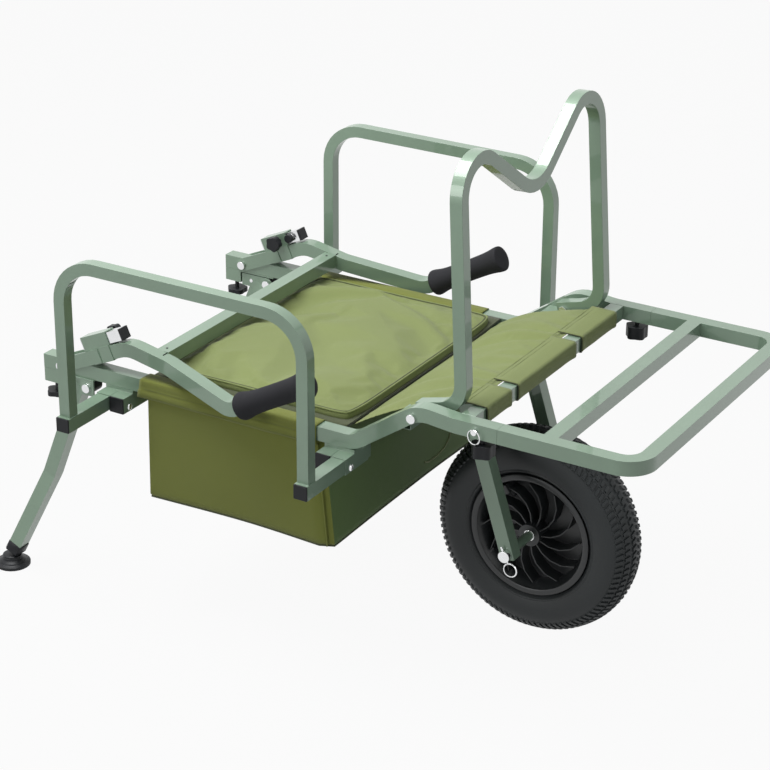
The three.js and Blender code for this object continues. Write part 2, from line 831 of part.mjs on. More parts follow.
function addRack() {
  const frontX = rackFrontX - railTube / 2;
  const startX = railJointX + gap;
  const corners = [
    point(startX, -railY, frontRailZ),
    point(frontX, -railY, frontRailZ),
    point(frontX, railY, frontRailZ),
    point(startX, railY, frontRailZ),
  ];
  let rack = tube(corners, [rackCornerRadius, rackCornerRadius], railTube, railWall);
  const reach = innerFaceY + railWall / 2;
  const bar = straightTube(
    point(rackInnerBarX, -reach, frontRailZ),
    point(rackInnerBarX, reach, frontRailZ),
    railTube,
    railWall,
  );
  rack = join(rack, bar);
  const bore = railTube - 2 * railWall;
  for (const [, side] of sides) {
    const core = bore / 2 - gap;
    const weld = bore / 2 + railWall / 4;
    const y0 = railY - core;
    const y1 = railY + core;
    const spigotEnd = railJointX - spigotLength;
    const rootEnd = railJointX + spigotRoot;
    const spigot = sideBox(side, spigotEnd, rootEnd, y0, y1, frontRailZ - core, frontRailZ + core);
    const lumen = core - railWall;
    const collarEnd = rootEnd - spigotCollar;
    const collar = sideBox(
      side,
      collarEnd,
      rootEnd,
      railY - weld,
      railY + weld,
      frontRailZ - weld,
      frontRailZ + weld,
    );
    const hollow = sideBox(
      side,
      spigotEnd - overrun,
      rootEnd + overrun,
      railY - lumen,
      railY + lumen,
      frontRailZ - lumen,
      frontRailZ + lumen,
    );
    rack = cut(join(rack, spigot, collar), hollow);
  }
  const half = bore / 2;
  const drain = box(
    rackInnerBarX - half,
    rackInnerBarX + half,
    -railY,
    railY,
    frontRailZ - half,
    frontRailZ + half,
  );
  rack = cut(rack, drain);
  addPiece('rack_frame', rack, paint);
}

function addRackFittings(name, side) {
  const bore = railTube - 2 * railWall;
  const tipZ = frontRailZ - bore / 2;
  const seatZ = frontRailZ - railTube / 2 - knobStem;
  addHangingKnob(`rack_knob_${name}`, rackKnobX, side * railY, tipZ, seatZ, knobRadius, knobHeight);
  const pin = ringPin(side, rackPinX, frontRailZ, railY + bore / 2, frameHalfWidth + gap);
  addPiece(`rack_pin_${name}`, pin, chrome);
}

// Folding handle. Along is measured from the pivot up the sleeve, over is square to it.

const handleTurn = handleAngle * DEG;

function onSleeve(along, over, y) {
  const x = handlePivotX + along * Math.cos(handleTurn) - over * Math.sin(handleTurn);
  const z = lowRailZ + along * Math.sin(handleTurn) + over * Math.cos(handleTurn);
  return point(x, y, z);
}

const guideOver = railTube + gap;

function sleeveCheekOutline() {
  const half = railTube / 2;
  const outline = [];
  const roundSteps = 8;
  for (let i = 0; i <= roundSteps; i += 1) {
    const angle = Math.PI / 2 + (Math.PI * i) / roundSteps;
    const at = onSleeve(cheekToe * Math.cos(angle), half * Math.sin(angle), 0);
    outline.push([at.x, at.z]);
  }
  for (const over of [-half, half]) {
    const at = onSleeve(cheekLength, over, 0);
    outline.push([at.x, at.z]);
  }
  return outline;
}

function addHandleSleeve(name, side) {
  const y = side * railY;
  const outer = railTube / 2 + gap;
  let sleeve = join(
    straightTube(onSleeve(sleeveStart, 0, y), onSleeve(sleeveEnd, 0, y), sleeveTube, 0),
    straightTube(onSleeve(guideStart, guideOver, y), onSleeve(guideEnd, guideOver, y), guideTube, 0),
    sidePlate(side, sleeveCheekOutline(), railY + outer, railY + outer + cheekThickness),
    sidePlate(side, sleeveCheekOutline(), railY - outer - cheekThickness, railY - outer),
  );
  const boreFrom = sleeveStart - overrun;
  const guideBore = guideTube - 2 * guideWall;
  sleeve = cut(
    sleeve,
    straightTube(onSleeve(boreFrom, 0, y), onSleeve(sleeveEnd + overrun, 0, y), sleeveBore, 0),
    straightTube(
      onSleeve(guideStart - overrun, guideOver, y),
      onSleeve(guideEnd + overrun, guideOver, y),
      guideBore,
      0,
    ),
    crossRod(side, handlePivotX, lowRailZ, innerFaceY - railTube, frameHalfWidth + railTube, boltRadius + gap),
    rod(
      onSleeve(lockKnobAt, guideOver, side * (railY - lockBarSize / 2 - gap)),
      onSleeve(lockKnobAt, guideOver, side * (railY - guideTube)),
      stemRadius + gap,
    ),
  );
  addPiece(`handle_sleeve_${name}`, sleeve, paint);
}

function addHandleBolt(name, side) {
  const x = handlePivotX;
  const face = frameHalfWidth + 2 * gap + cheekThickness;
  const back = innerFaceY - 2 * gap - cheekThickness;
  const shaft = crossRod(side, x, lowRailZ, back - boltHeadThickness, face + boltHeadThickness, boltRadius);
  const head = crossRod(side, x, lowRailZ, face, face + boltHeadThickness, boltHeadRadius);
  const nut = crossRod(side, x, lowRailZ, back - boltHeadThickness, back, boltHeadRadius);
  addPiece(`handle_bolt_${name}`, join(shaft, head, nut), chrome);
}

function handleArmCorners(side) {
  return [
    onSleeve(sleeveStart + gap, 0, side * railY),
    onSleeve(armCrest, 0, side * railY),
    point(armSplayX, side * railY, armSplayZ),
    point(armLowX, side * armLowY, armLowZ),
    point(gripEndX, side * gripEndY, gripEndZ),
  ];
}

function handleBarZ() {
  const crest = onSleeve(armCrest, 0, 0);
  const share = (handleBarX - crest.x) / (armSplayX - crest.x);
  return crest.z + (armSplayZ - crest.z) * share;
}

function addHandleFrame() {
  let frame = null;
  for (const [, side] of sides) {
    const radii = [armCrestRadius, armSplayRadius, armLowRadius];
    const arm = tube(handleArmCorners(side), radii, armTube, hoopWall);
    frame = frame ? join(frame, arm) : arm;
  }
  const reach = railY - armTube / 2 + hoopWall / 2;
  const z = handleBarZ();
  const bar = straightTube(point(handleBarX, -reach, z), point(handleBarX, reach, z), armTube, hoopWall);
  const half = armTube / 2 - hoopWall;
  const drain = box(handleBarX - half, handleBarX + half, -railY, railY, z - half, z + half);
  addPiece('handle_frame', cut(join(frame, bar), drain), paint);
}

// A foam grip slid over the arm's end, swollen at both ends

function addGrip(name, side) {
  const end = point(gripEndX, side * gripEndY, gripEndZ);
  const axis = end.clone().sub(point(armLowX, side * armLowY, armLowZ)).normalize();
  const bore = (armTube / 2) * Math.SQRT2 + gap;
  const inside = gripLength - gripCap;
  const profile = [
    [0, inside + gap],
    [bore, inside + gap],
    [bore, 0],
    [gripFlangeRadius - gripCap / 2, 0],
    [gripFlangeRadius, gripCap / 2],
    [gripFlangeRadius, gripFlangeLength / 2],
    [gripRadius, 2 * gripFlangeLength],
    [gripRadius, gripLength - 2 * gripFlangeLength],
    [gripFlangeRadius, gripLength - gripFlangeLength / 2],
    [gripFlangeRadius, gripLength - gripCap / 2],
    [gripFlangeRadius - gripCap / 2, gripLength],
    [0, gripLength],
  ];
  const points = profile.map(([radius, along]) => new THREE.Vector2(radius, along));
  const geometry = new THREE.LatheGeometry(points, turnedSides);
  geometry.applyQuaternion(new THREE.Quaternion().setFromUnitVectors(new THREE.Vector3(0, 1, 0), axis));
  const start = end.clone().addScaledVector(axis, -inside);
  addPiece(`handle_grip_${name}`, solidOf(moved(geometry, start.x, start.y, start.z)), foam);
}

// The square lock bar slides in the guide, and a knob on the guide's inner face clamps it
function addLockBar(name, side) {
  const y = side * railY;
  const bar = straightTube(
    onSleeve(lockBarRear, guideOver, y),
    onSleeve(lockBarChromeEnd, guideOver, y),
    lockBarSize,
    0,
  );
  const end = straightTube(
    onSleeve(lockBarChromeEnd - overrun, guideOver, y),
    onSleeve(lockBarCapEnd, guideOver, y),
    lockBarSize + 2 * gap,
    0,
  );
  const stopTip = railY - lockBarSize / 2 - lockStopReach;
  const stop = rod(
    onSleeve(lockStopAt, guideOver, side * (railY - lockBarSize / 2 + overrun)),
    onSleeve(lockStopAt, guideOver, side * stopTip),
    lockStopRadius,
  );
  addPiece(`lock_bar_${name}`, join(bar, end, stop), chrome);
  const tip = onSleeve(lockKnobAt, guideOver, side * (railY - lockBarSize / 2 - 2 * gap));
  const seat = onSleeve(lockKnobAt, guideOver, side * (railY - guideTube / 2 - lockKnobStem));
  addPiece(`lock_knob_${name}`, knobSolid(seat, tip, lockKnobRadius, lockKnobHeight), blackPlastic);
}

// Rear bracket: the lock tube under the rail's end, and the cheek and bolt that the leg turns on

const lockTubeZ = lowRailBottom - gap - railTube / 2;
const bracketKnobX = railRearX + lockTubeLength / 2;

function addRearBracket(name, side) {
  const y = side * railY;
  const lockTube = straightTube(
    point(railRearX, y, lockTubeZ),
    point(railRearX + lockTubeLength, y, lockTubeZ),
    railTube,
    railWall,
  );
  const plateX = legPivotX + legPlateHalfLength;
  const strapTop = lowRailBottom - gap;
  const cheekInner = frameHalfWidth + gap;
  const cheekOuter = cheekInner + legPlateThickness;
  const strap = sideBox(
    side,
    railRearX + lockTubeLength - legPlateThickness,
    plateX,
    innerFaceY,
    cheekOuter,
    strapTop - legPlateThickness,
    strapTop,
  );
  const cheek = sideBox(
    side,
    legPivotX - legPlateHalfLength,
    plateX,
    cheekInner,
    cheekOuter,
    legPivotZ - legPlateHalfLength,
    strapTop,
  );
  const middle = (cheekInner + cheekOuter) / 2;
  const inner = innerFaceY - gap;
  const bolt = join(
    crossRod(side, legPivotX, legPivotZ, inner - boltHeadThickness / 2, middle, boltRadius),
    crossRod(side, legPivotX, legPivotZ, middle, cheekOuter + boltHeadThickness, boltHeadRadius),
    crossRod(side, legPivotX, legPivotZ, inner - boltHeadThickness, inner, boltHeadRadius),
  );
  const knobHole = rod(
    point(bracketKnobX, y, lockTubeZ),
    point(bracketKnobX, y, lockTubeZ - railTube),
    stemRadius + gap,
  );
  addPiece(`rear_bracket_${name}`, cut(join(lockTube, strap, cheek, bolt), knobHole), paint);
}

function addBracketKnob(name, side) {
  const bore = railTube - 2 * railWall;
  const seatZ = lockTubeZ - railTube / 2 - bracketKnobStem;
  const tipZ = lockTubeZ - bore / 2;
  const y = side * railY;
  addHangingKnob(`bracket_knob_${name}`, bracketKnobX, y, tipZ, seatZ, bracketKnobRadius, bracketKnobHeight);
}

// Rear legs: each is welded under a head block, and bends back and outwards at the knee

function legCorners(side) {
  return [
    point(legHeadX, side * railY, legPivotZ),
    point(legKneeX, side * railY, legKneeZ),
    point(legAnkleX, side * (railY + legAnkleSplay), legAnkleZ),
  ];
}

function legDown(side) {
  const [, knee, ankle] = legCorners(side);
  return ankle.sub(knee).normalize();
}

function onLegEnd(along, side) {
  const [, , ankle] = legCorners(side);
  return ankle.addScaledVector(legDown(side), along);
}

function ballAt(centre, radius) {
  const geometry = new THREE.SphereGeometry(radius, roundSides, roundSides / 2);
  return solidOf(moved(geometry, centre.x, centre.y, centre.z));
}

function legHead(side) {
  const y = side * railY;
  const half = legHeadSize / 2;
  const block = straightTube(
    point(legPivotX - legHeadRear, y, legPivotZ),
    point(legPivotX, y, legPivotZ),
    legHeadSize,
    0,
  );
  return join(block, crossRod(side, legPivotX, legPivotZ, railY - half, railY + half, half));
}

// Each leg carries a plug in its open end, with a ball that the foot swivels on
function addRearLeg(name, side) {
  const lip = onLegEnd(legPlugLip, side);
  const leg = join(
    legHead(side),
    tube(legCorners(side), [legKneeRadius], legTube, railWall),
    straightTube(onLegEnd(-plugDepth, side), lip, legTube - 2 * railWall + gap, 0),
    straightTube(onLegEnd(-gap, side), lip, legTube, 0),
    rod(onLegEnd(legPlugLip / 2, side), footCentre(side), footStudRadius),
    ballAt(footCentre(side), footBallRadius),
  );
  const near = railY - legTube;
  const far = railY + legTube;
  const drain = onLegEnd(-2 * plugDepth, side);
  const cuts = [
    crossRod(side, legPivotX, legPivotZ, near, far, boltRadius + gap),
    crossRod(side, legPivotX - legPinBehind, legPivotZ, near, far, pinRadius + gap),
    rod(drain, point(drain.x, drain.y - side * legTube, drain.z), legDrainRadius),
  ];
  addPiece(`rear_leg_${name}`, cut(leg, ...cuts), paint);
}

function addLegPin(name, side) {
  const tip = railY - legTube / 2;
  const collar = railY + legTube / 2 + gap;
  addPiece(`leg_pin_${name}`, ringPin(side, legPivotX - legPinBehind, legPivotZ, tip, collar), chrome);
}

// A mud foot: a wide disc under a short cone, cupped for the ball of the leg's end plug
function footCentre(side) {
  return onLegEnd((legAnkleZ - footBallZ) / -legDown(side).z, side);
}

function addFoot(name, side) {
  const profile = [
    [0, 0],
    [footRadius, 0],
    [footRadius, footDisc],
    [(footRadius + footNeckRadius) / 2, footDisc + footDisc / 2],
    [footNeckRadius, footBallZ],
    [footNeckRadius, footHeight],
    [0, footHeight],
  ];
  const points = profile.map(([radius, along]) => new THREE.Vector2(radius, along));
  const geometry = new THREE.LatheGeometry(points, turnedSides);
  geometry.rotateX(Math.PI / 2);
  const base = footCentre(side);
  const pad = solidOf(moved(geometry, base.x, base.y, 0));
  const over = point(base.x, base.y, footHeight + overrun);
  const cup = join(ballAt(base, footBallRadius + gap), rod(base, over, footCupRadius));
  addPiece(`foot_${name}`, cut(pad, cup), blackPlastic);
}

// Soft pieces

function addBag() {
  const top = lowRailBottom - gap;
  const shape = new THREE.BufferGeometry();
  const rings = [
    [bagRearFootX, bagFrontFootX, bagFootHalfWidth, bagFloorZ],
    [bagRearTopX, bagFrontTopX, bagHalfWidth, top],
  ];
  const vertices = rings.flatMap(([x0, x1, y, z]) => [x0, -y, z, x1, -y, z, x1, y, z, x0, y, z]);
  shape.setAttribute('position', new THREE.Float32BufferAttribute(vertices, 3));
  shape.setIndex([
    0, 2, 1, 0, 3, 2, 4, 5, 6, 4, 6, 7,
    0, 1, 5, 0, 5, 4, 1, 2, 6, 1, 6, 5,
    2, 3, 7, 2, 7, 6, 3, 0, 4, 3, 4, 7,
  ]);
  addPiece('bag', solidOf(shape), cloth);
}

// A closed sheet from two height fields over a grid that place() bends in plan
function gridSolid(columns, rows, place, topOf, baseOf) {
  const vertices = [];
  const index = [];
  const layer = (columns + 1) * (rows + 1);
  for (const height of [baseOf, topOf]) {
    for (let row = 0; row <= rows; row += 1) {
      for (let column = 0; column <= columns; column += 1) {
        const u = column / columns;
        const v = row / rows;
        const at = place(u, v);
        vertices.push(at.x, at.y, height(u, v, at));
      }
    }
  }
  const id = (level, column, row) => level * layer + row * (columns + 1) + column;
  for (let row = 0; row < rows; row += 1) {
    for (let column = 0; column < columns; column += 1) {
      const quad = (level) => [
        id(level, column, row),
        id(level, column + 1, row),
        id(level, column + 1, row + 1),
        id(level, column, row + 1),
      ];
      const [a, b, c, d] = quad(1);
      index.push(a, b, c, a, c, d);
      const [e, f, g, h] = quad(0);
      index.push(e, g, f, e, h, g);
    }
  }
  const wall = (c0, r0, c1, r1) => {
    const a = id(0, c0, r0);
    const b = id(0, c1, r1);
    const c = id(1, c1, r1);
    const d = id(1, c0, r0);
    index.push(a, b, c, a, c, d);
  };
  for (let column = 0; column < columns; column += 1) {
    wall(column, 0, column + 1, 0);
    wall(column + 1, rows, column, rows);
  }
  for (let row = 0; row < rows; row += 1) {
    wall(0, row + 1, 0, row);
    wall(columns, row, columns, row + 1);
  }
  const geometry = new THREE.BufferGeometry();
  geometry.setAttribute('position', new THREE.Float32BufferAttribute(vertices, 3));
  geometry.setIndex(index);
  return solidOf(geometry);
}

// The lid: crowned, with rounded corners and sides that draw in between them
function addLid() {
  const bottom = lowRailBottom;
  const length = lidFrontX - lidRearX;
  const middleX = (lidFrontX + lidRearX) / 2;
  const place = (u, v) => {
    const a = 2 * u - 1;
    const b = 2 * v - 1;
    const corner = lidCornerRadius * (a * b) ** 6;
    const drawX = lidSideDraw * (1 - b * b) * a ** 6;
    const drawY = lidSideDraw * (1 - a * a) * b ** 6;
    return {
      x: middleX + a * (length / 2 - corner / 3 - drawX),
      y: b * (lidHalfWidth - corner / 3 - drawY),
    };
  };
  const swell = (t) => 1 - (2 * t - 1) ** 4;
  const topOf = (u, v) => lidEdgeTop + lidCrown * swell(u) * swell(v);
  addPiece('lid', gridSolid(14, 16, place, topOf, () => bottom), cloth);
}

// The apron slopes from the front crossbar down to the lid, pulled into shallow folds
function addApron() {
  const barRear = levelX + gap;
  const frontX = barRear - sleeveClothGap;
  const frontZ = frontRailTop - clothThickness;
  const place = (u, v) => ({
    x: apronRearX + (frontX - apronRearX) * u,
    y: (2 * v - 1) * (apronHalfWidth + apronFlare * Math.max(0, 1 - u / apronFlareShare)),
  });
  const baseOf = (u, v) => {
    const slope = apronRearZ + (frontZ - apronRearZ) * u + apronSwell * Math.sin(Math.PI * u);
    return slope + apronFoldDepth * Math.sin(2 * Math.PI * apronFolds * v) * Math.sin(Math.PI * u);
  };
  addPiece('apron', gridSolid(6, 30, place, (u, v) => baseOf(u, v) + clothThickness, baseOf), cloth);
}

// Everything, side by side

for (const [name, side] of sides) {
  addSideRail(name, side);
  addRearBracket(name, side);
  addBracketKnob(name, side);
  addTwinSocket('rear', name, side, hoopRearX, 1);
  addTwinSocket('front', name, side, hoopFrontX, -1);
  addSideHoop(name, side);
  addHoopCaps(name, side);
  addFrontHoopBolt(name, side);
  addRackFittings(name, side);
  addHandleSleeve(name, side);
  addHandleBolt(name, side);
  addGrip(name, side);
  addLockBar(name, side);
  addRearLeg(name, side);
  addLegPin(name, side);
  addFoot(name, side);
  addWheelStrut(name, side);
  addForkKnob(name, side);
}
addFrontCrossbar();
addForkCrossbar();
addFrontHoop();
addRack();
addHandleFrame();
addTyre();
addRim();
addHubBush();
addAxle();
addLinchpin();
addBag();
addLid();
addApron();

// The origin is on the ground under the middle of the trolley's length

const rearmostX = footCentre(1).x - footRadius;
group.position.x = -(rearmostX + rackFrontX) / 2;

export default group;
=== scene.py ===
# %% [markdown]
# # A folding fishing trolley
#
# The trolley is square steel tube, painted a soft grey-green, with one barrow wheel, a cloth bag
# slung between the rails, two load hoops, a folding front hoop, a rack and a fold-over handle.
# The solids of every rigid piece come in as a fixed frame. This lesson gives them edges, paint,
# rubber and plating, and sews the cloth pieces that the frame only blocks out.

import json
import math

import bmesh
import bpy
from mathutils import Matrix, Vector, noise


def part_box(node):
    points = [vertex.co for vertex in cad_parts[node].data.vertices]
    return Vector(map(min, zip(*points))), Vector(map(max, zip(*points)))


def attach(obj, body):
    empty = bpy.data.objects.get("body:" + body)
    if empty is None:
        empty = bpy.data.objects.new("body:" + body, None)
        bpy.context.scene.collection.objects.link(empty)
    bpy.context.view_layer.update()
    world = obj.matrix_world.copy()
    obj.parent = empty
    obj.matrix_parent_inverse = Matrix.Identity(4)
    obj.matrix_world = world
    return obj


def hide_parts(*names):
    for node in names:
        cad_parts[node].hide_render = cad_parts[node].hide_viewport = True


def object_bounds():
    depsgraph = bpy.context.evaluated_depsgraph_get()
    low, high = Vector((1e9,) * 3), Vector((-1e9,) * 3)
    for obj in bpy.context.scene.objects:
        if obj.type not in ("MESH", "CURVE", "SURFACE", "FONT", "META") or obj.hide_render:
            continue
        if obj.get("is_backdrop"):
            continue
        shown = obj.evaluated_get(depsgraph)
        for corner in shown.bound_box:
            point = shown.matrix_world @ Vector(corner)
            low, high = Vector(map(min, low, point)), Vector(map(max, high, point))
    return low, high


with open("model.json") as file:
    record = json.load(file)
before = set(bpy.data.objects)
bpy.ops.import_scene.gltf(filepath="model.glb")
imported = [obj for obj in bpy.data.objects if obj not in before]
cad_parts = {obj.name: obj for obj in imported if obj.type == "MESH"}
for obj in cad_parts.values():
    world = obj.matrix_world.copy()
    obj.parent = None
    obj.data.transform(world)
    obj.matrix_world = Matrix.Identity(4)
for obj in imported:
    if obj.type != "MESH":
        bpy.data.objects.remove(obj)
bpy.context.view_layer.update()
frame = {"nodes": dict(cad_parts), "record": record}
bodies = frame["record"]["behaviour"]["bodies"]
body_with = {node: body for body, members in bodies.items() for node in members}
print(f"{len(frame['nodes'])} nodes on {len(bodies)} bodies")

# %% [markdown]
# All places are worked out in millimetres from the wheel's axle line, because that is where a maker
# would measure from: x runs forward from the axle, y to the left and z up from the ground.
# One helper turns such a place into metres in the frame.

# %% Places
MM = 0.001
sides = ("right", "left")
signed_sides = (("right", -1), ("left", 1))
tyre_low, tyre_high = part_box("tyre")
axle_x = (tyre_low.x + tyre_high.x) / 2
wheel_radius = (tyre_high.z - tyre_low.z) / 2


def at(x, y, z):
    """A place in millimetres from the axle line and the ground."""
    return Vector((axle_x + x * MM, y * MM, z * MM))


def box_mm(node):
    """A node's box in the same millimetres."""
    low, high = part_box(node)
    shift = Vector((axle_x, 0, 0))
    return (low - shift) / MM, (high - shift) / MM


def linked(name, data):
    """A new object for this mesh, curve, lamp or camera, put into the scene."""
    thing = bpy.data.objects.new(name, data)
    bpy.context.scene.collection.objects.link(thing)
    return thing


rail_low, rail_high = box_mm("chassis_rail_right")
bar_low, bar_high = box_mm("front_crossbar")
lid_low, lid_high = box_mm("lid")
rail_outer = -rail_low.y
rail_size = rail_high.y - rail_low.y
rail_inner = rail_outer - rail_size
low_rail_bottom = rail_low.z
low_rail_top = low_rail_bottom + rail_size
print(f"axle at x = {axle_x:.3f} m, rails {rail_size:.1f} mm square, wheel radius {wheel_radius:.3f} m")

# %% [markdown]
# ## Camera
#
# The photograph was matched with a long lens well in front, to the right and above the trolley.
# A long lens keeps both hoops nearly the same size. The camera is turned a third of a degree,
# because the photograph is.

# %% Camera
azimuth, elevation, roll = (math.radians(angle) for angle in (30.836, 24.436, 0.37))
distance = 4.1289
aim = at(-307.65, 0, 379.58)
sensor_width = 36
focal_share = 2381.6 / 770
back = Vector((
    math.sin(azimuth) * math.cos(elevation),
    -math.cos(azimuth) * math.cos(elevation),
    math.sin(elevation),
))
level = Vector((math.cos(azimuth), math.sin(azimuth), 0))
rise = back.cross(level)
right = level * math.cos(roll) + rise * math.sin(roll)
up = rise * math.cos(roll) - level * math.sin(roll)
camera_data = bpy.data.cameras.new("camera")
camera_data.sensor_width = sensor_width
camera_data.lens = sensor_width * focal_share
camera = linked("camera", camera_data)
turn = Matrix((right, up, back)).transposed().to_4x4()
camera.matrix_world = Matrix.Translation(aim + back * distance) @ turn
bpy.context.scene.camera = camera
camera_place = [round(c, 3) for c in camera.matrix_world.translation]
print(f"camera at {camera_place}, lens {camera_data.lens:.1f} mm")

# %% [markdown]
# ## Node graphs as sums
#
# A paint or a weave is easier to read as a sum than as a page of linked boxes. `Wire` wraps one
# socket, so that ordinary signs between wires add the Math nodes. `Graph` builds a node tree from
# plain calls. `Finish` is the graph of a material, and its `feed` sends a wire into the shader.

# %% Sums on sockets
class Wire:
    def __init__(self, graph, socket):
        self.graph = graph
        self.socket = socket

    def sum(self, operation, *values):
        return self.graph.node("ShaderNodeMath", {"operation": operation}, dict(enumerate(values)))

    def __add__(self, other):
        return self.sum("ADD", self, other)

    def __mul__(self, other):
        return self.sum("MULTIPLY", self, other)

    __radd__ = __add__
    __rmul__ = __mul__

    def larger(self, other):
        return self.sum("MAXIMUM", self, other)

    def sine(self):
        return self.sum("SINE", self)


class Graph:
    def __init__(self, tree):
        self.tree = tree

    def join(self, value, socket):
        if isinstance(value, Wire):
            self.tree.links.new(value.socket, socket)
        else:
            socket.default_value = value

    def node(self, kind, settings=None, inputs=None, output=0, **named):
        """A new node with these settings and inputs, as the wire of one output."""
        made = self.tree.nodes.new(kind)
        for name, value in (settings or {}).items():
            setattr(made, name, value)
        for name, value in {**(inputs or {}), **named}.items():
            self.join(value, made.inputs[name])
        return Wire(self, made.outputs[output])

    def ray(self, kind):
        """One for rays of this kind, and nought for all others."""
        return self.node("ShaderNodeLightPath", output=f"Is {kind} Ray")


class Finish(Graph):
    def __init__(self, name, roughness, metallic=0.0, coat=0.0, sheen=0.0, specular=0.5):
        self.material = bpy.data.materials.new(name)
        self.material.use_nodes = True
        super().__init__(self.material.node_tree)
        self.shader = self.tree.nodes["Principled BSDF"]
        constants = {
            "Roughness": roughness, "Metallic": metallic, "Coat Weight": coat,
            "Sheen Weight": sheen, "Specular IOR Level": specular,
        }
        for socket, value in constants.items():
            self.feed(socket, value)

    def feed(self, name, value):
        self.join(value, self.shader.inputs[name])

    def place(self):
        return self.node("ShaderNodeTexCoord", output="Object")

    def axes(self, where):
        return [self.node("ShaderNodeSeparateXYZ", output=axis, Vector=where) for axis in range(3)]

    def speckle(self, where, scale, detail=3.0, roughness=0.55):
        return self.node("ShaderNodeTexNoise", Vector=where, Scale=scale, Detail=detail, Roughness=roughness)

    def tinted(self, colour, share, amount):
        """A colour that the share, from 0 to 1, makes darker or lighter by this amount."""
        dark = [c * (1 - amount) for c in colour]
        light = [min(1, c * (1 + amount)) for c in colour]
        return self.node("ShaderNodeMix", {"data_type": "RGBA"}, {0: share, 6: (*dark, 1), 7: (*light, 1)}, 2)

    def relief(self, height, depth, strength):
        self.feed("Normal", self.node("ShaderNodeBump", Height=height, Distance=depth, Strength=strength))


print("sums on sockets ready")

# %% [markdown]
# ## Paint
#
# The tubes have a satin powder coat. Powder settles with a faint orange peel, so the paint is one
# colour with a very fine ripple, slightly uneven gloss and the odd rubbed patch where luggage slides.
# The coat on top is what makes the upper faces pale, because they mirror the bright sky at a low angle.

# %% Paint
def powder_coat(name, colour, ripple):
    coat = Finish(name, 0.36, metallic=0.12, coat=0.7)
    where = coat.place()
    clouds = coat.speckle(where, scale=9, detail=4)
    peel = coat.speckle(where, scale=ripple, detail=2)
    grime = coat.speckle(where, scale=38, detail=6, roughness=0.7)
    rubbed = grime.sum("SMOOTH_MIN", grime, 0.74, 0.05)
    coat.feed("Base Color", coat.tinted(colour, clouds * 0.8 + rubbed * 0.25, amount=0.16))
    coat.feed("Roughness", 0.30 + clouds * 0.14)
    coat.relief(peel, depth=0.00005, strength=0.35)
    return coat.material


paint = powder_coat("grey_green_paint", (0.176, 0.258, 0.184), ripple=900)
print(paint.name)

# %% [markdown]
# ## Plastic, foam, rubber and plating
#
# The knobs and caps are moulded plastic with a spark-eroded grain. The grips are closed-cell foam,
# matt and pitted. The tyre is duller than the rim, which still shines where the mould did.

# %% Black pieces and plating
def moulded(name, colour, grain, roughness, depth, specular=0.22):
    skin = Finish(name, roughness, specular=specular)
    where = skin.place()
    dust = skin.speckle(where, scale=14, detail=5)
    skin.feed("Base Color", skin.tinted(colour, dust, amount=0.35))
    skin.feed("Roughness", (roughness - 0.08) + dust * 0.16)
    skin.relief(skin.speckle(where, grain, roughness=0.7), depth, strength=0.5)
    return skin.material


black_plastic = moulded("black_plastic", (0.013, 0.014, 0.016), 1400, 0.42, 0.0001)
wheel_plastic = moulded("wheel_plastic", (0.018, 0.020, 0.021), 700, 0.36, 0.0001, 0.5)
tyre_rubber = moulded("tyre_rubber", (0.016, 0.019, 0.020), 420, 0.50, 0.0002, 0.36)
foam = moulded("grip_foam", (0.021, 0.021, 0.024), 1100, 0.88, 0.0006)


def plated(name, colour):
    plate = Finish(name, 0.16, metallic=1.0)
    where = plate.place()
    haze = plate.speckle(where, scale=60, detail=4)
    plate.feed("Base Color", plate.tinted(colour, haze, amount=0.06))
    plate.feed("Roughness", 0.10 + haze * 0.16)
    plate.relief(plate.speckle(where, scale=500, detail=2), depth=0.00003, strength=0.4)
    return plate.material


chrome = plated("bright_zinc", (0.78, 0.79, 0.80))
print(black_plastic.name, wheel_plastic.name, tyre_rubber.name, foam.name, chrome.name)

# %% [markdown]
# ## Cloth
#
# The bag is a coated nylon. Its weave is under a millimetre, so it is a fine plaid of two sines that
# only shows close up. What the eye reads from afar is the uneven dye and the fold shading.

# %% Cloth
thread_pitch = 0.0009


def nylon(name, colour):
    cloth = Finish(name, 0.72, sheen=0.15, specular=0.3)
    cloth.feed("Sheen Roughness", 0.6)
    where = cloth.place()
    x, y, z = cloth.axes(where)
    pitch = 2 * math.pi / thread_pitch
    warp = (x * pitch + z * pitch * 0.7).sine()
    weft = (y * pitch + z * pitch * 0.7).sine()
    weave = warp * weft * 0.5 + 0.5
    dye = cloth.speckle(where, scale=5, detail=4)
    fleck = cloth.speckle(where, scale=320, detail=2)
    share = dye * 0.6 + weave * 0.2 + fleck * 0.2
    cloth.feed("Base Color", cloth.tinted(colour, share, amount=0.22))
    cloth.feed("Roughness", 0.62 + dye * 0.2)
    cloth.relief(weave + cloth.speckle(where, scale=26) * 3, depth=0.0004, strength=0.35)
    return cloth.material


lid_cloth = nylon("olive_nylon", (0.165, 0.200, 0.062))
# The walls' nylon is the lid's cloth painted darker and yellower: painted shade, for walls that the lamps
# light less than the lid's top.
wall_nylon_painted_shade = nylon("bag_side_nylon", (0.138, 0.158, 0.020))
# The front's nylon is the same cloth painted darker still: painted shade for the faces turned towards the
# wheel, away from the main lamps.
front_nylon_painted_shade = nylon("bag_front_nylon", (0.085, 0.150, 0.035))
seam_cloth = nylon("dark_edging", (0.045, 0.055, 0.020))
piping_cloth = nylon("pale_piping", (0.30, 0.33, 0.17))


def thread_finish(name, colour):
    thread = Finish(name, 0.8)
    twist = thread.speckle(thread.place(), scale=2500, detail=2)
    thread.feed("Base Color", thread.tinted(colour, twist, amount=0.4))
    thread.relief(twist, depth=0.0002, strength=0.6)
    return thread.material


stitch_thread = thread_finish("stitch_thread", (0.10, 0.12, 0.04))
print(lid_cloth.name, wall_nylon_painted_shade.name, front_nylon_painted_shade.name)

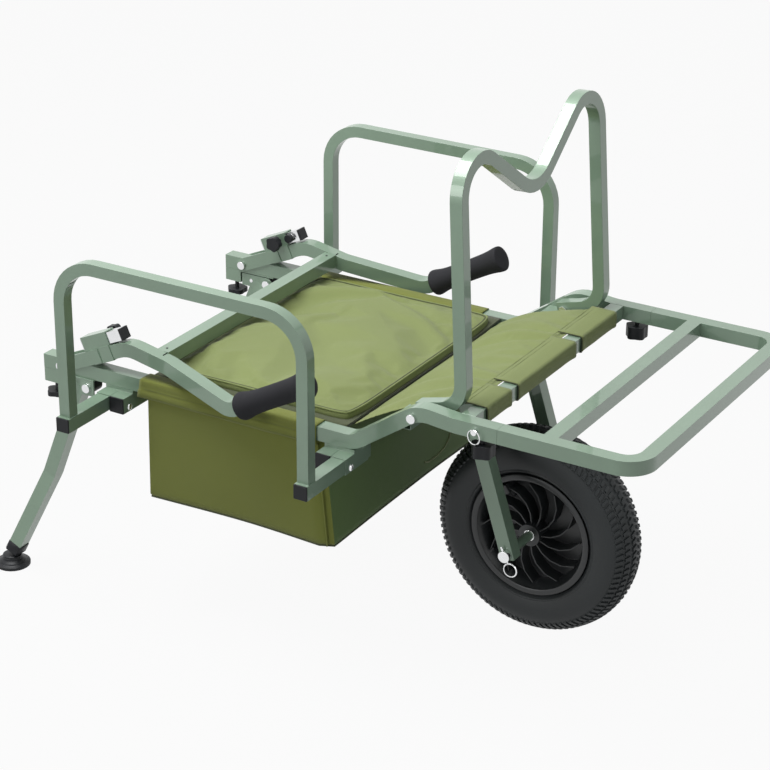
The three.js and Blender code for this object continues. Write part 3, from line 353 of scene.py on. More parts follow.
# %% [markdown]
# ## Making a mesh
#
# Every piece ends as a plain mesh at the origin with its place in its points. `made` does that from
# points and faces. `fastened` says which body carries a piece, and which nodes it stands for.
# Most pieces are a `lattice`: rows of points with a face between each four neighbours.

# %% Mesh helpers
def made(name, points, faces, finishes, smooth=40):
    mesh = bpy.data.meshes.new(name)
    mesh.from_pydata([tuple(p) for p in points], [], faces)
    for finish in finishes:
        mesh.materials.append(finish)
    mesh.update()
    return rounded(linked(name, mesh), smooth)


def lattice(rows, columns, round_rows=False, round_columns=False):
    """Faces between the rows. A row, or the whole stack of them, may close on itself."""
    faces = []
    for row in range(rows if round_rows else rows - 1):
        here, there = row * columns, (row + 1) % rows * columns
        for column in range(columns if round_columns else columns - 1):
            after = (column + 1) % columns
            faces.append((here + column, here + after, there + after, there + column))
    return faces


def end_faces(count, width):
    """The first and last row of so many points, as faces that close both ends."""
    return [tuple(reversed(range(width))), tuple(range(count - width, count))]


def rounded(piece, degrees):
    """Smooth shading that stops at edges sharper than this."""
    piece.data.polygons.foreach_set("use_smooth", [True] * len(piece.data.polygons))
    piece.data.set_sharp_from_angle(angle=math.radians(degrees))
    piece.data.update()
    return piece


def outward(piece, merge=0.00002):
    """Turns all the faces of a piece outward."""
    work = bmesh.new()
    work.from_mesh(piece.data)
    bmesh.ops.remove_doubles(work, verts=work.verts, dist=merge)
    bmesh.ops.recalc_face_normals(work, faces=work.faces)
    work.to_mesh(piece.data)
    work.free()
    return rounded(piece, 40)


def fastened(piece, body, *nodes, slot=None):
    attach(piece, body)
    if nodes:
        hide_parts(*nodes)
    return piece


def thick(piece, thickness, offset=-1.0):
    wall = piece.modifiers.new("cloth_thickness", "SOLIDIFY")
    wall.thickness = thickness * MM
    wall.offset = offset
    return piece


def bevelled(piece, width):
    edge = piece.modifiers.new("rolled_edges", "BEVEL")
    edge.width = width * MM
    edge.segments = 2
    return edge


def plain(piece):
    """Bakes a piece's modifiers into its mesh, once all its inputs are set."""
    ready = piece.evaluated_get(bpy.context.evaluated_depsgraph_get())
    mesh = bpy.data.meshes.new_from_object(ready)
    piece.modifiers.clear()
    old = piece.data
    piece.data = mesh
    bpy.data.meshes.remove(old)
    return piece


def run_length(places):
    """How long a line through these places is."""
    return sum((Vector(p) - Vector(q)).length for p, q in zip(places, places[1:]))


print("mesh helpers ready")

# %% [markdown]
# ## Dressing the tubes
#
# A welded tube has rolled corners, and a machined edge is never sharp: that thin bright line along
# an edge is most of what makes metal look real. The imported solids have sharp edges, so each rigid
# piece is copied, its flat faces are joined, and a small bevel is put along its edges.

# %% Bevelled copies
flat_within = math.radians(1.2)
sharp_from = math.radians(38)


def dressed(node, finishes, bevel, choose=None, smooth=38):
    """A bevelled copy of a node, riding where the node does."""
    work = bmesh.new()
    work.from_mesh(frame["nodes"][node].data)
    bmesh.ops.remove_doubles(work, verts=work.verts, dist=0.00003)
    bmesh.ops.dissolve_limit(work, angle_limit=flat_within, verts=work.verts, edges=work.edges)
    mesh = bpy.data.meshes.new(node + "_skin")
    work.to_mesh(mesh)
    work.free()
    piece = linked(node + "_skin", mesh)
    for finish in finishes:
        mesh.materials.append(finish)
    if choose:
        for face in mesh.polygons:
            face.material_index = choose((face.center - Vector((axle_x, 0, 0))) / MM)
    rounded(piece, smooth)
    if bevel:
        edge = bevelled(piece, bevel)
        edge.limit_method = "ANGLE"
        edge.angle_limit = sharp_from
        edge.harden_normals = True
        plain(piece)
    return fastened(piece, body_with[node], node)


def both(*stems):
    """The names of nodes that come as a right one and a left one."""
    return [f"{stem}_{side}" for stem in stems for side in sides]


tubes = ["front_hoop", "rack_frame", "handle_frame", "fork_crossbar", "front_crossbar"]
tubes += both("chassis_rail", "side_hoop", "wheel_strut")
brackets = both("twin_socket_rear", "twin_socket_front", "handle_sleeve")
for node in tubes:
    dressed(node, [paint], 2.2)
for node in brackets:
    dressed(node, [paint], 0.9)
print(f"{len(tubes)} tubes and {len(brackets)} brackets bevelled")

# %% [markdown]
# Some solids join two materials in one piece: a leg carries its plastic end plug, a lock bar its
# black end cap, and a bracket the plated stud that the leg turns on. There, faces past a line
# take the second material.

# %% Pieces in two materials
pivot_low, pivot_high = box_mm("handle_bolt_right")
handle_pivot = (pivot_low + pivot_high) / 2
sleeve_slope = math.radians(24)
bar_cap_start = 148
cheek_outer = rail_outer + 3.5
leg_pivot = Vector((-729, 277.5, 386.5))
knee = Vector((-826.5, 277.5, 195))
ankle = Vector((-898, 304, 38))
shin = (ankle - knee).normalized()
plug_lip = 9


def leg_finish(c):
    """Black for the plug at the leg's foot and for the nose of the block at its head."""
    nose = c.x > leg_pivot.x + 3 and c.z > leg_pivot.z - 20
    past_ankle = (Vector((c.x, abs(c.y), c.z)) - ankle).dot(shin)
    return int(nose or past_ankle > plug_lip)


def bracket_finish(c):
    """Plated for the stud's head and end, outside the cheeks."""
    return int(abs(c.y) > cheek_outer or abs(c.y) < rail_inner - 0.1)


def lock_bar_finish(c):
    """Black past the cap's start, measured up the sloping sleeve, and for the inner stop."""
    up_the_sleeve = (c.x - handle_pivot.x) * math.cos(sleeve_slope)
    up_the_sleeve += (c.z - handle_pivot.z) * math.sin(sleeve_slope)
    return int(up_the_sleeve > bar_cap_start or abs(c.y) < rail_inner + 1.5)


for side in sides:
    dressed(f"rear_bracket_{side}", [paint, chrome], 0.9, bracket_finish)
    dressed(f"rear_leg_{side}", [paint, black_plastic], 1.8, leg_finish)
    dressed(f"lock_bar_{side}", [chrome, black_plastic], 0.8, lock_bar_finish)
print("legs, brackets and lock bars in two materials")

# %% [markdown]
# The knobs are five-lobed star knobs, and their lobes are already in the solids. The caps, pins and
# bolts are small, so a half-millimetre edge is enough to catch the light.

# %% Knobs, caps, pins and bolts
small_pieces = (
    # nodes, finish, bevel and the angle that stays sharp
    (both("foot"), black_plastic, 0.7, 38),
    (both("rack_knob", "bracket_knob", "fork_knob", "lock_knob"), black_plastic, 1.0, 50),
    (both("hoop_cap_rear", "hoop_cap_front", "socket_plug_rear", "socket_plug_front"),
     black_plastic, 0.8, 38),
    (both("rack_pin", "leg_pin", "front_hoop_bolt", "handle_bolt"), chrome, 0.5, 50),
    (["axle", "hub_bush"], chrome, 0.6, 50),
    (["linchpin"], chrome, 0, 60),
    (["rim"], wheel_plastic, 0.7, 45),
)
for nodes, finish, bevel, smooth in small_pieces:
    for node in nodes:
        dressed(node, [finish], bevel, smooth=smooth)
print(f"{sum(len(row[0]) for row in small_pieces)} small pieces bevelled")

# %% [markdown]
# ## Turned pieces
#
# A grip is turned from a profile: a straight foam tube that swells at both ends, where the mould
# was rolled over. `turned` spins such a profile about any axis, with its ends closed on the axis.

# %% Turning a profile
def turned(name, profile, start, axis, steps, finish, closed=False):
    """Profile pairs are (radius, along) in millimetres, from start along the axis."""
    axis = axis.normalized()
    side = axis.orthogonal().normalized()
    other = axis.cross(side)
    turns = [2 * math.pi * step / steps for step in range(steps)]
    spokes = [side * math.cos(turn) + other * math.sin(turn) for turn in turns]
    points = [start + (axis * along + spoke * radius) * MM for radius, along in profile for spoke in spokes]
    faces = lattice(len(profile), steps, round_rows=closed, round_columns=True)
    if not closed:
        faces += end_faces(len(points), steps)
    return outward(made(name, points, faces, [finish]))


def softened(profile, rounds=2):
    """Cuts the corners of a profile, so that it turns smoothly."""
    for _ in range(rounds):
        cut = [profile[0]]
        for first, second in zip(profile, profile[1:]):
            for share in (0.25, 0.75):
                cut.append(tuple(a * (1 - share) + b * share for a, b in zip(first, second)))
        cut.append(profile[-1])
        profile = cut
    return profile


# %% Foam grips
grip_low_end = Vector((-408, 316, 434))
grip_tip = Vector((-260, 324, 516))
grip_axis = (grip_tip - grip_low_end).normalized()
grip_length = 154
grip_past_tip = 4
grip_profile = softened([
    (18.4, 0), (22.0, 0), (24.0, 3), (23.6, 10), (20.6, 24), (19.5, 44), (19.4, 78), (19.8, 112),
    (21.0, 130), (23.4, 144), (23.8, 151), (22.6, 153.8), (10.0, grip_length), (1.0, grip_length),
])
for side, sign in signed_sides:
    mirror = Vector((1, sign, 1))
    start = (grip_tip - grip_axis * (grip_length - grip_past_tip)) * mirror
    grip = turned(f"grip_foam_{side}", grip_profile, at(*start), grip_axis * mirror, 40, foam)
    fastened(grip, "handle", f"handle_grip_{side}", slot="foam")
print(f"grips {grip_length} mm long")

# %% [markdown]
# ## Geometry nodes for what repeats
#
# The tyre has a block tread: the same small lug some hundred times round, in six rows. Placing them
# by hand would be tedious and hard to change, so a node tree puts one lug on every point of a
# circle. The tree's inputs are the count, the radius and the shift of the row.

# %% A node tree that puts a piece round a circle
class Tree(Graph):
    """A geometry node tree. `given` is the piece that it is put on."""

    def __init__(self, name):
        super().__init__(bpy.data.node_groups.new(name, "GeometryNodeTree"))
        self.start = self.tree.nodes.new("NodeGroupInput")
        self.names = {}
        self.given = self.ask("Geometry", "Geometry")
        self.tree.interface.new_socket("Geometry", in_out="OUTPUT", socket_type="NodeSocketGeometry")

    def ask(self, name, kind="Float"):
        """A named input of the tree."""
        socket = self.tree.interface.new_socket(name, in_out="INPUT", socket_type="NodeSocket" + kind)
        self.names[name] = socket.identifier
        return Wire(self, self.start.outputs[name])

    def facing(self, way):
        """The turn that brings +Z to this direction."""
        return self.node("FunctionNodeAlignRotationToVector", {"axis": "Z"}, Vector=way)

    def spread(self, points, piece, turn):
        """Ends the tree: the piece on every point, turned, as plain mesh in the finish asked for."""
        placed = self.node("GeometryNodeInstanceOnPoints", Points=points, Instance=piece, Rotation=turn)
        solid = self.node("GeometryNodeRealizeInstances", Geometry=placed)
        finish = self.ask("Finish", "Material")
        coloured = self.node("GeometryNodeSetMaterial", Geometry=solid, Material=finish)
        self.join(coloured, self.tree.nodes.new("NodeGroupOutput").inputs[0])
        return self

    def run(self, piece, **values):
        """Puts the tree on a piece with these inputs, and bakes the result."""
        modifier = piece.modifiers.new("repeat", "NODES")
        modifier.node_group = self.tree
        for name, value in values.items():
            modifier[self.names[name]] = value
        return plain(piece)


def circle_tree():
    tree = Tree("pieces_round_a_circle")
    count, radius, shift = tree.ask("Count", "Int"), tree.ask("Radius"), tree.ask("Shift")
    circle = tree.node("GeometryNodeMeshCircle", Vertices=count, Radius=radius)
    step = count.sum("DIVIDE", 2 * math.pi, count)
    turn = tree.node("ShaderNodeCombineXYZ", Z=(tree.node("GeometryNodeInputIndex") + shift) * step)
    first_turn = tree.node("ShaderNodeCombineXYZ", Z=step * shift)
    shifted = tree.node("GeometryNodeTransform", Geometry=circle, Rotation=first_turn)
    return tree.spread(shifted, tree.given, turn)


lug_circle = circle_tree()
print("inputs", ", ".join(lug_circle.names))

# %% [markdown]
# ## Tyre
#
# The casing is turned from a section with a bead step, a moulded ring low on the sidewall and a round
# crown. Its crown stops a few millimetres short of the tread's own height, and the lugs make that up.

# %% Tyre casing
tread_radius = wheel_radius / MM
crown_half_width = tyre_high.y / MM - 0.6
lug_height = 2.3
crown_radius = tread_radius - lug_height
crown_drop = 40 - lug_height
crown_steps = 10
wheel_axis = Vector((0, 1, 0))
wheel_centre = at(0, 0, tread_radius)
wall_profile = [
    (108.6, 28.5), (116.0, 35.4), (117.5, 38.4), (119.5, 39.6), (121.8, 38.6), (124.0, 39.4),
    (131.0, 41.8), (139.0, 43.2), (146.0, 43.6),
]
inside_profile = [(108.6, 19.0), (126, 30), (150, 34), (170, 20), (176, 0)]


def crown_at(angle):
    """The casing's radius and half width at this angle from the crown's middle."""
    return crown_radius - crown_drop * (1 - math.cos(angle)), crown_half_width * math.sin(angle)


def mirrored(profile, sign):
    return [(radius, along * sign) for radius, along in profile]


outside_profile = wall_profile + [
    crown_at(math.pi / 2 * (1 - step / crown_steps)) for step in range(1, crown_steps)
]
casing_profile = mirrored(outside_profile, -1) + [(crown_radius, 0.0)] + outside_profile[::-1]
casing_profile += inside_profile + mirrored(inside_profile[-2::-1], -1)
tyre = turned("tyre_casing", casing_profile, wheel_centre, wheel_axis, 128, tyre_rubber, closed=True)

# %% Tread lugs
lug_root, lug_taper = -2.0, 0.78
square = ((-1, -1), (1, -1), (1, 1), (-1, 1))


def lug(length, width, height, lean):
    """One tread block, tapered, standing out along +X, as long as `length` round the wheel."""
    points = []
    for level, share in ((lug_root, 1.0), (height, lug_taper)):
        for a, b in square:
            points.append(Vector((level, a * length * share / 2 + b * lean, b * width * share / 2)))
    return points, lattice(2, 4, round_columns=True) + end_faces(8, 4)


def lug_row(name, count, length, width, angle, lean, shift):
    """A row of lugs round the crown, at this angle from the crown's middle."""
    tilt = math.radians(angle)
    points, faces = lug(length, width, lug_height, lean)
    radius, along = crown_at(tilt)
    placed = []
    for p in points:
        out = p.x * math.cos(tilt) - p.z * math.sin(tilt)
        across = p.x * math.sin(tilt) + p.z * math.cos(tilt)
        placed.append(Vector((out, p.y, across + along)) * MM)
    row = made(name, placed, faces, [tyre_rubber])
    lug_circle.run(row, Count=count, Radius=radius * MM, Shift=shift, Finish=tyre_rubber)
    row.data.transform(Matrix.Translation(wheel_centre) @ Matrix.Rotation(-math.pi / 2, 4, "X"))
    return row


lug_count = 96
tread = (
    # angle from the middle, shift in lugs, length, width and lean of each row's lugs
    (54, 0.0, 7.0, 15, 2.2), (-54, 0.5, 7.0, 15, -2.2),
    (33, 0.5, 7.2, 12, 1.6), (-33, 0.0, 7.2, 12, -1.6),
    (12, 0.2, 7.6, 11, 2.4), (-12, 0.7, 7.6, 11, -2.4),
)
rows = []
for number, (angle, shift, length, width, lean) in enumerate(tread):
    rows.append(lug_row(f"tread_row_{number}", lug_count, length, width, angle, lean, shift))
with bpy.context.temp_override(active_object=tyre, selected_editable_objects=[tyre, *rows], object=tyre):
    bpy.ops.object.join()
rounded(tyre, 40)
fastened(tyre, "wheel", "tyre", slot="tyre_rubber")
print(f"tyre {2 * tread_radius:.0f} mm across with {len(tread) * lug_count} lugs")

# %% [markdown]
# The rim carries a raised lip ring, the moulded block round the valve hole, and a valve with its cap.

# %% Rim lip and valve
lip_profile = softened(
    [(100.5, 35.2), (101.0, 36.6), (104.0, 37.6), (109.5, 37.6), (112.0, 36.4), (111.6, 35.2)], 1)
for side, sign in signed_sides:
    lip = turned(f"rim_lip_{side}", mirrored(lip_profile, sign), wheel_centre, wheel_axis, 96,
                 wheel_plastic, closed=True)
    fastened(lip, "wheel", slot="wheel_plastic")
valve_profile = [(6.5, 0), (6.5, 3), (4.6, 4), (4.4, 12), (5.4, 12.6), (5.4, 22), (3.6, 24), (0.5, 24.2)]
valve_turn = math.radians(128)
valve_way = Vector((math.cos(valve_turn), 0, math.sin(valve_turn)))
valve_root = wheel_centre + (valve_way * 91.5 + Vector((0, -10, 0))) * MM
valve = turned("valve_stem", valve_profile, valve_root, -valve_way, 20, black_plastic)
fastened(valve, "wheel", slot="wheel_plastic")
boss_points, boss_faces = lug(length=34, width=26, height=14, lean=0)
boss_root = Vector((-93, -20, 0))
turn_in = Matrix.Rotation(math.pi - valve_turn, 4, "Y")
boss = made("valve_boss", [wheel_centre + turn_in @ ((p + boss_root) * MM) for p in boss_points],
            boss_faces, [wheel_plastic])
bevelled(boss, 1.5)
rounded(plain(outward(boss)), 40)
fastened(boss, "wheel", slot="wheel_plastic")
print("rim lips, valve and its boss")

# %% [markdown]
# ## Plastic collars and rivets
#
# Each leg ends in a black collar above its swivel foot, and each fork strut is held in a black
# clamp collar under the frame. The handle bar is riveted near both ends, where the heads look black,
# and plated dome bolts hold the sockets. Rivets repeat, so a node tree puts one dome on every point.

# %% Leg and fork collars
octagon = ((1, 0.8), (0.8, 1), (-0.8, 1), (-1, 0.8), (-1, -0.8), (-0.8, -1), (0.8, -1), (1, -0.8))
collar_levels = ((0, -0.6), (0.06, 0), (0.94, 0), (1, -0.6))


def sleeve_round(name, start, end, half, wall):
    """A square moulded collar round a square tube, from start to end."""
    across = Vector((0, 1, 0))
    other = (end - start).normalized().cross(across).normalized()
    points = []
    for share, grow in collar_levels:
        centre = start.lerp(end, share)
        size = half + wall + grow
        points += [at(*(centre + (across * a + other * b) * size)) for a, b in octagon]
    faces = lattice(len(collar_levels), len(octagon), round_columns=True)
    faces += end_faces(len(points), len(octagon))
    return outward(made(name, points, faces, [black_plastic]))


foot_low, foot_high = box_mm("foot_right")
foot_x, foot_y = (foot_low.x + foot_high.x) / 2, -(foot_low.y + foot_high.y) / 2
boot_profile = softened([
    (0.5, 6), (25, 6), (24, 9), (18, 12), (18.5, 15), (17, 17), (17.5, 20.5), (10, 21.4), (0.5, 21.4),
], 1)
strut_low, strut_high = box_mm("wheel_strut_right")
strut_y = (strut_low.y + strut_high.y) / 2
strut_lean = math.radians(17.5)
strut_way = Vector((-math.sin(strut_lean), 0, math.cos(strut_lean)))
clamp_z = 414
for side, sign in zip(sides, (1, -1)):
    mirror = Vector((1, -sign, 1))
    collar_ends = (ankle - shin * 9) * mirror, (ankle + shin * 10.3) * mirror
    collar = sleeve_round(f"leg_collar_{side}", *collar_ends, 12.6, 1.5)
    fastened(collar, f"rear_leg_{side}", slot="black_plastic")
    low = Vector((0, strut_y * sign, tread_radius)) + strut_way * ((clamp_z - tread_radius) / strut_way.z)
    clamp = sleeve_round(f"fork_clamp_{side}", low - strut_way * 2, low + strut_way * 20, 15.1, 1.6)
    fastened(clamp, "chassis", slot="black_plastic")
    boot = turned(f"foot_boot_{side}", boot_profile, at(foot_x, -foot_y * sign, 0),
                  Vector((0, 0, 1)), 32, black_plastic)
    fastened(boot, f"foot_{side}", slot="black_plastic")
print("leg collars, foot boots and fork clamps")


# %% A node tree that puts a rivet on each point
def rivet_tree():
    tree = Tree("rivets_on_points")
    dome = tree.node("GeometryNodeMeshUVSphere", Segments=14, Rings=8, Radius=tree.ask("Radius"))
    flat = tree.node("GeometryNodeTransform", Geometry=dome, Scale=(1, 1, 0.42))
    points = tree.node("GeometryNodeMeshToPoints", Mesh=tree.given)
    return tree.spread(points, flat, tree.facing(tree.ask("Way", "Vector")))


def dotted(name, places, edges=()):
    """A mesh of bare points, and edges between them, for a node tree to work on."""
    mesh = bpy.data.meshes.new(name)
    mesh.from_pydata([tuple(at(*p)) for p in places], edges, [])
    return linked(name, mesh)


rivets = rivet_tree()


def rivet_set(name, places, radius, way, finish, body):
    piece = rivets.run(dotted(name, places), Radius=radius * MM, Way=way, Finish=finish)
    return fastened(rounded(piece, 60), body, slot="chrome")


bar_rivets = [(-586, y, 478.9) for y in (-252, 252)]
rivet_set("handle_bar_rivets", bar_rivets, 2.3, (0, 0, 1), black_plastic, "handle")
socket_boxes = [box_mm(f"twin_socket_{place}_right") for place in ("front", "rear")]
front_low, front_high = socket_boxes[0]
dome_z = (front_low.z + front_high.z) / 2 - 9
domes = [(high.x + 0.2, y, dome_z) for low, high in socket_boxes for y in (-300, 300)]
rivet_set("socket_dome_bolts", domes, 6.0, (1, 0, 0), chrome, "chassis")
print(f"{len(domes)} dome bolts and {len(bar_rivets)} rivets")

# %% [markdown]
# ## Sewn cloth
#
# A sewn panel is a sheet held at its seams, and it puckers because the cloth between them is a
# little larger than the gap. So each panel starts as a smooth grid, is made a few per cent larger,
# and the cloth solver finds the wrinkles, with its border pinned. The move is capped, so that a
# panel stays within its frame.

# %% A panel made by the cloth solver
solver_frames = 20
nylon_settings = {
    "quality": 7, "mass": 0.15, "tension_stiffness": 18, "compression_stiffness": 18,
    "shear_stiffness": 8, "vertex_group_mass": "held", "use_pressure": True,
}


def grid(name, place, columns, rows, finish, smooth=180):
    """A sheet whose points come from place(u, v), with u and v from 0 to 1."""
    points = [at(*place(c / columns, r / rows)) for r in range(rows + 1) for c in range(columns + 1)]
    return made(name, points, lattice(rows + 1, columns + 1), [finish], smooth)


def step_of(section, share):
    """The point of a section at this share of its steps."""
    return section[round(share * (len(section) - 1))]


def puckered(panel, pinned, grow, pressure, cap, bend):
    """Lets the cloth solver wrinkle a panel, held at the points where pinned says so."""
    before = [v.co.copy() for v in panel.data.vertices]
    held = panel.vertex_groups.new(name="held")
    for vertex in panel.data.vertices:
        hold = pinned(vertex.index)
        if hold > 0:
            held.add([vertex.index], hold, "REPLACE")
    cloth = panel.modifiers.new("cloth", "CLOTH")
    for name, value in nylon_settings.items():
        setattr(cloth.settings, name, value)
    cloth.settings.bending_stiffness = bend
    cloth.settings.shrink_min = -grow
    cloth.settings.uniform_pressure_force = pressure
    cloth.settings.effector_weights.gravity = 0
    cloth.point_cache.frame_start = 1
    cloth.point_cache.frame_end = solver_frames
    scene = bpy.context.scene
    for number in range(1, solver_frames + 1):
        scene.frame_set(number)
    plain(panel)
    scene.frame_set(1)
    for vertex, old in zip(panel.data.vertices, before):
        move = vertex.co - old
        if move.length > cap * MM:
            vertex.co = old + move * (cap * MM / move.length)
    panel.vertex_groups.clear()
    return panel


def subdivided(piece):
    fine = piece.modifiers.new("finer", "SUBSURF")
    fine.levels = 1
    fine.render_levels = 1
    return piece


def sewn_on(piece, *nodes):
    """All the cloth rides on the frame."""
    return fastened(piece, "chassis", *nodes, slot="olive_cloth")


print("cloth helpers ready")

# %% [markdown]
# ## Lid
#
# The lid is a stiffened panel zipped to the bag. Its top is slightly crowned and wrinkled, its edge
# turns down into a band, a cord of piping runs round the turn, and a dark zip tape lies under it.
# The tape's dark cloth, flared out below the band, also stands in for the shade in the gap there:
# painted shade.

# %% Lid panel
lid_rear, lid_front = lid_low.x + 3, lid_high.x - 3
lid_middle, lid_reach = (lid_rear + lid_front) / 2, (lid_front - lid_rear) / 2
lid_half = lid_high.y - 3
lid_top = lid_high.z - 11
lid_columns, lid_rows = 72, 92
lid_corner = 16 * 0.55
lid_hollow = 4
lid_crown, lid_sag = 4.5, 4.5
lid_band = 15


def lid_outline(u, v):
    """Where the lid's grid falls seen from above, with rounded corners and slightly hollow ends."""
    a, b = 2 * u - 1, 2 * v - 1
    corner = lid_corner * (abs(a) ** 9) * (abs(b) ** 9)
    return lid_middle + a * (lid_reach - corner), b * (lid_half - corner) - lid_hollow * (1 - a * a) * b ** 7


# each fold: its two ends, its height and its width
lid_folds = (
    ((-590, -250), (-420, -60), 3.4, 15), ((-590, -215), (-470, 90), 2.8, 13),
    ((-240, -245), (-400, -120), 3.6, 13), ((-236, -170), (-380, 40), 2.6, 15),
    ((-592, 150), (-380, 250), 3.0, 16), ((-240, 90), (-430, 200), 2.6, 15),
    ((-330, -255), (-470, -190), 3.2, 12),
)


def lid_fold(x, y, start, end, height, width):
    """A soft ridge along a line, that fades towards its far end."""
    from_start, way = Vector((x, y)) - Vector(start), Vector(end) - Vector(start)
    share = max(0, min(1, from_start.dot(way) / way.length_squared))
    off = (from_start - way * share).length
    return height * (1 - share) * math.exp(-(off / width) ** 2)


def lid_place(u, v):
    x, y = lid_outline(u, v)
    a, b = 2 * u - 1, 2 * v - 1
    inside = (1 - a ** 4) * (1 - b ** 4)
    sag = lid_sag * noise.noise(Vector((u * 2.6, v * 3.1, 4.0)))
    folds = sum(lid_fold(x, y, *fold) for fold in lid_folds)
    return x, y, lid_top + lid_crown * inside + (sag + folds) * min(1, 2.5 * inside)


def lid_border(index):
    row, column = divmod(index, lid_columns + 1)
    return 1.0 if min(column, row, lid_columns - column, lid_rows - row) < 2 else 0.0


lid_panel = grid("lid_panel", lid_place, lid_columns, lid_rows, lid_cloth)
puckered(lid_panel, lid_border, grow=0.024, pressure=0.05, cap=11, bend=2.5)
thick(lid_panel, 1.4)
sewn_on(subdivided(lid_panel), "lid")

# %% Lid band, piping and zip
def lid_edge():
    """The places round the lid's edge, in order."""
    along = [i / lid_columns for i in range(lid_columns)]
    across = [i / lid_rows for i in range(lid_rows)]
    path = [lid_outline(u, 0) for u in along] + [lid_outline(1, v) for v in across]
    return path + [lid_outline(1 - u, 1) for u in along] + [lid_outline(0, 1 - v) for v in across]


def around(name, path, section, finish, thickness, wobble):
    """A closed strip: a section of (outward, height) pairs carried round a level path."""
    centre = Vector((sum(p[0] for p in path) / len(path), sum(p[1] for p in path) / len(path)))
    points = []
    for i, place in enumerate(path):
        here = Vector(place)
        way = (Vector(path[(i + 1) % len(path)]) - Vector(path[i - 1])).normalized()
        out = Vector((way.y, -way.x))
        if out.dot(here - centre) < 0:
            out = -out
        ripple = wobble * noise.noise(Vector((here.x * 0.02, here.y * 0.02, 1.7)))
        for reach, height in section:
            points.append(at(*(here + out * (reach + ripple)), height))
    faces = [face[::-1] for face in lattice(len(path), len(section), round_rows=True)]
    return thick(made(name, points, faces, [finish], smooth=60), thickness, 0)


def cord(name, points, radius, finish, closed=False):
    """A round cord of piping along a line of places, sewn on."""
    curve = bpy.data.curves.new(name, "CURVE")
    curve.dimensions = "3D"
    curve.bevel_depth = radius * MM
    curve.bevel_resolution = 2
    curve.use_fill_caps = not closed
    line = curve.splines.new("POLY")
    line.points.add(len(points) - 1)
    for target, p in zip(line.points, points):
        target.co = (*at(*p), 1)
    line.use_cyclic_u = closed
    shape = linked(name, curve)
    mesh = bpy.data.meshes.new_from_object(shape.evaluated_get(bpy.context.evaluated_depsgraph_get()))
    bpy.data.objects.remove(shape)
    mesh.materials.clear()
    mesh.materials.append(finish)
    return sewn_on(outward(linked(name, mesh)))


edge_path = lid_edge()
edge_length = run_length(edge_path + edge_path[:1])
band_section = [(-1.5, lid_top + 0.5), (0.4, lid_top - 1.5), (1.4, lid_top - 7), (0.8, lid_top - lid_band)]
band = sewn_on(around("lid_band", edge_path, band_section, lid_cloth, thickness=1.4, wobble=1.2))
edge_length * MM
cord("lid_piping", [(x, y, lid_top + 0.4) for x, y in edge_path], 1.9, lid_cloth, True)
zip_top = lid_top - lid_band
# The zip tape is dark cloth, and its flare below the band is also painted shade for the gap between the lid
# and the apron.
zip_section = [(-0.5, zip_top + 1), (1.0, zip_top - 2), (5.5, zip_top - 5.5)]
zip_tape_with_gap_shade = sewn_on(around("lid_zip_tape", edge_path, zip_section, seam_cloth, thickness=1.2, wobble=0.8))
edge_length * MM
seam_inset, edge_zone = 3.2, 12


def inset(value, middle, reach):
    """Moves a coordinate in by the seam's inset, if it lies on the edge."""
    on_edge = abs(value - middle) > reach - edge_zone
    return value - math.copysign(seam_inset, value - middle) * on_edge


seam_path = [(inset(x, lid_middle, lid_reach), inset(y, 0, lid_half), lid_top + 1.0) for x, y in edge_path]
cord("lid_seam", seam_path, 1.0, seam_cloth, True)
print(f"lid edge {edge_length:.0f} mm round")

# %% [markdown]
# ## Bag
#
# The bag hangs from the rails. Its walls belly out a little between their corners and its floor is
# higher in the middle of each edge than at the corners, where the weight of the cloth collects. It is
# lofted from level rings, each a rectangle with its corners cut, and closed by a floor.

# %% Bag shell
bag_rear_top, bag_rear_foot = -614, -620
bag_front_top, bag_front_foot = -257, -239
bag_half_top, bag_half_foot = 288, 284
bag_top_z, bag_floor_z = low_rail_bottom - 0.4, box_mm("bag")[0].z
bag_corner = 11
bag_steps, bag_levels, round_levels = 30, 22, 5
belly_sides, belly_ends, bag_slack = 3.4, 2.4, 3.2
foot_radius, foot_share = 11, 0.06
floor_arch = 4.5


def down_the_bag(share, top, foot):
    return top + (foot - top) * share


def bag_side(start, end, bulge, height_share):
    """Points along one wall of a ring, bellied between the corners."""
    start, end = Vector(start), Vector(end)
    way = (end - start).normalized()
    out = Vector((way.y, -way.x))
    run = (end - start).length
    points = []
    for i in range(bag_steps):
        share = i / bag_steps
        p = start + way * (bag_corner + (run - 2 * bag_corner) * share)
        slack = bag_slack * noise.noise(Vector((p.x * 0.006, p.y * 0.006, height_share * 1.6 + 2.0)))
        belly = bulge * math.sin(math.pi * min(1, height_share * 1.05))
        points.append(p + out * (belly + slack) * math.sin(math.pi * share))
    return points


def bag_ring(share, inset):
    """One level ring of the bag, at this share of the way down."""
    rear = down_the_bag(share, bag_rear_top, bag_rear_foot) + inset
    front = down_the_bag(share, bag_front_top, bag_front_foot) - inset
    half = down_the_bag(share, bag_half_top, bag_half_foot) - inset
    corners = [(rear, -half), (front, -half), (front, half), (rear, half)]
    ring = []
    for i, corner in enumerate(corners):
        ring += bag_side(corner, corners[(i + 1) % 4], belly_ends if i % 2 else belly_sides, share)
    return ring


def bag_walls():
    """The rings down the walls and round the lower edge, as rows of places."""
    levels = [(i / bag_levels, 0.0) for i in range(bag_levels)]
    for step in range(1, round_levels + 1):
        turn = math.pi / 2 * step / round_levels
        levels.append((1 - foot_share * (1 - math.sin(turn)), foot_radius * (1 - math.cos(turn))))
    rows = []
    for share, inset in levels:
        z = down_the_bag(share, bag_top_z, bag_floor_z + 1.5)
        row = []
        for k, p in enumerate(bag_ring(share, inset)):
            lift = floor_arch * math.sin(math.pi * (k % bag_steps) / bag_steps) * share ** 6
            row.append((p.x, p.y, z + lift))
        rows.append(row)
    return rows


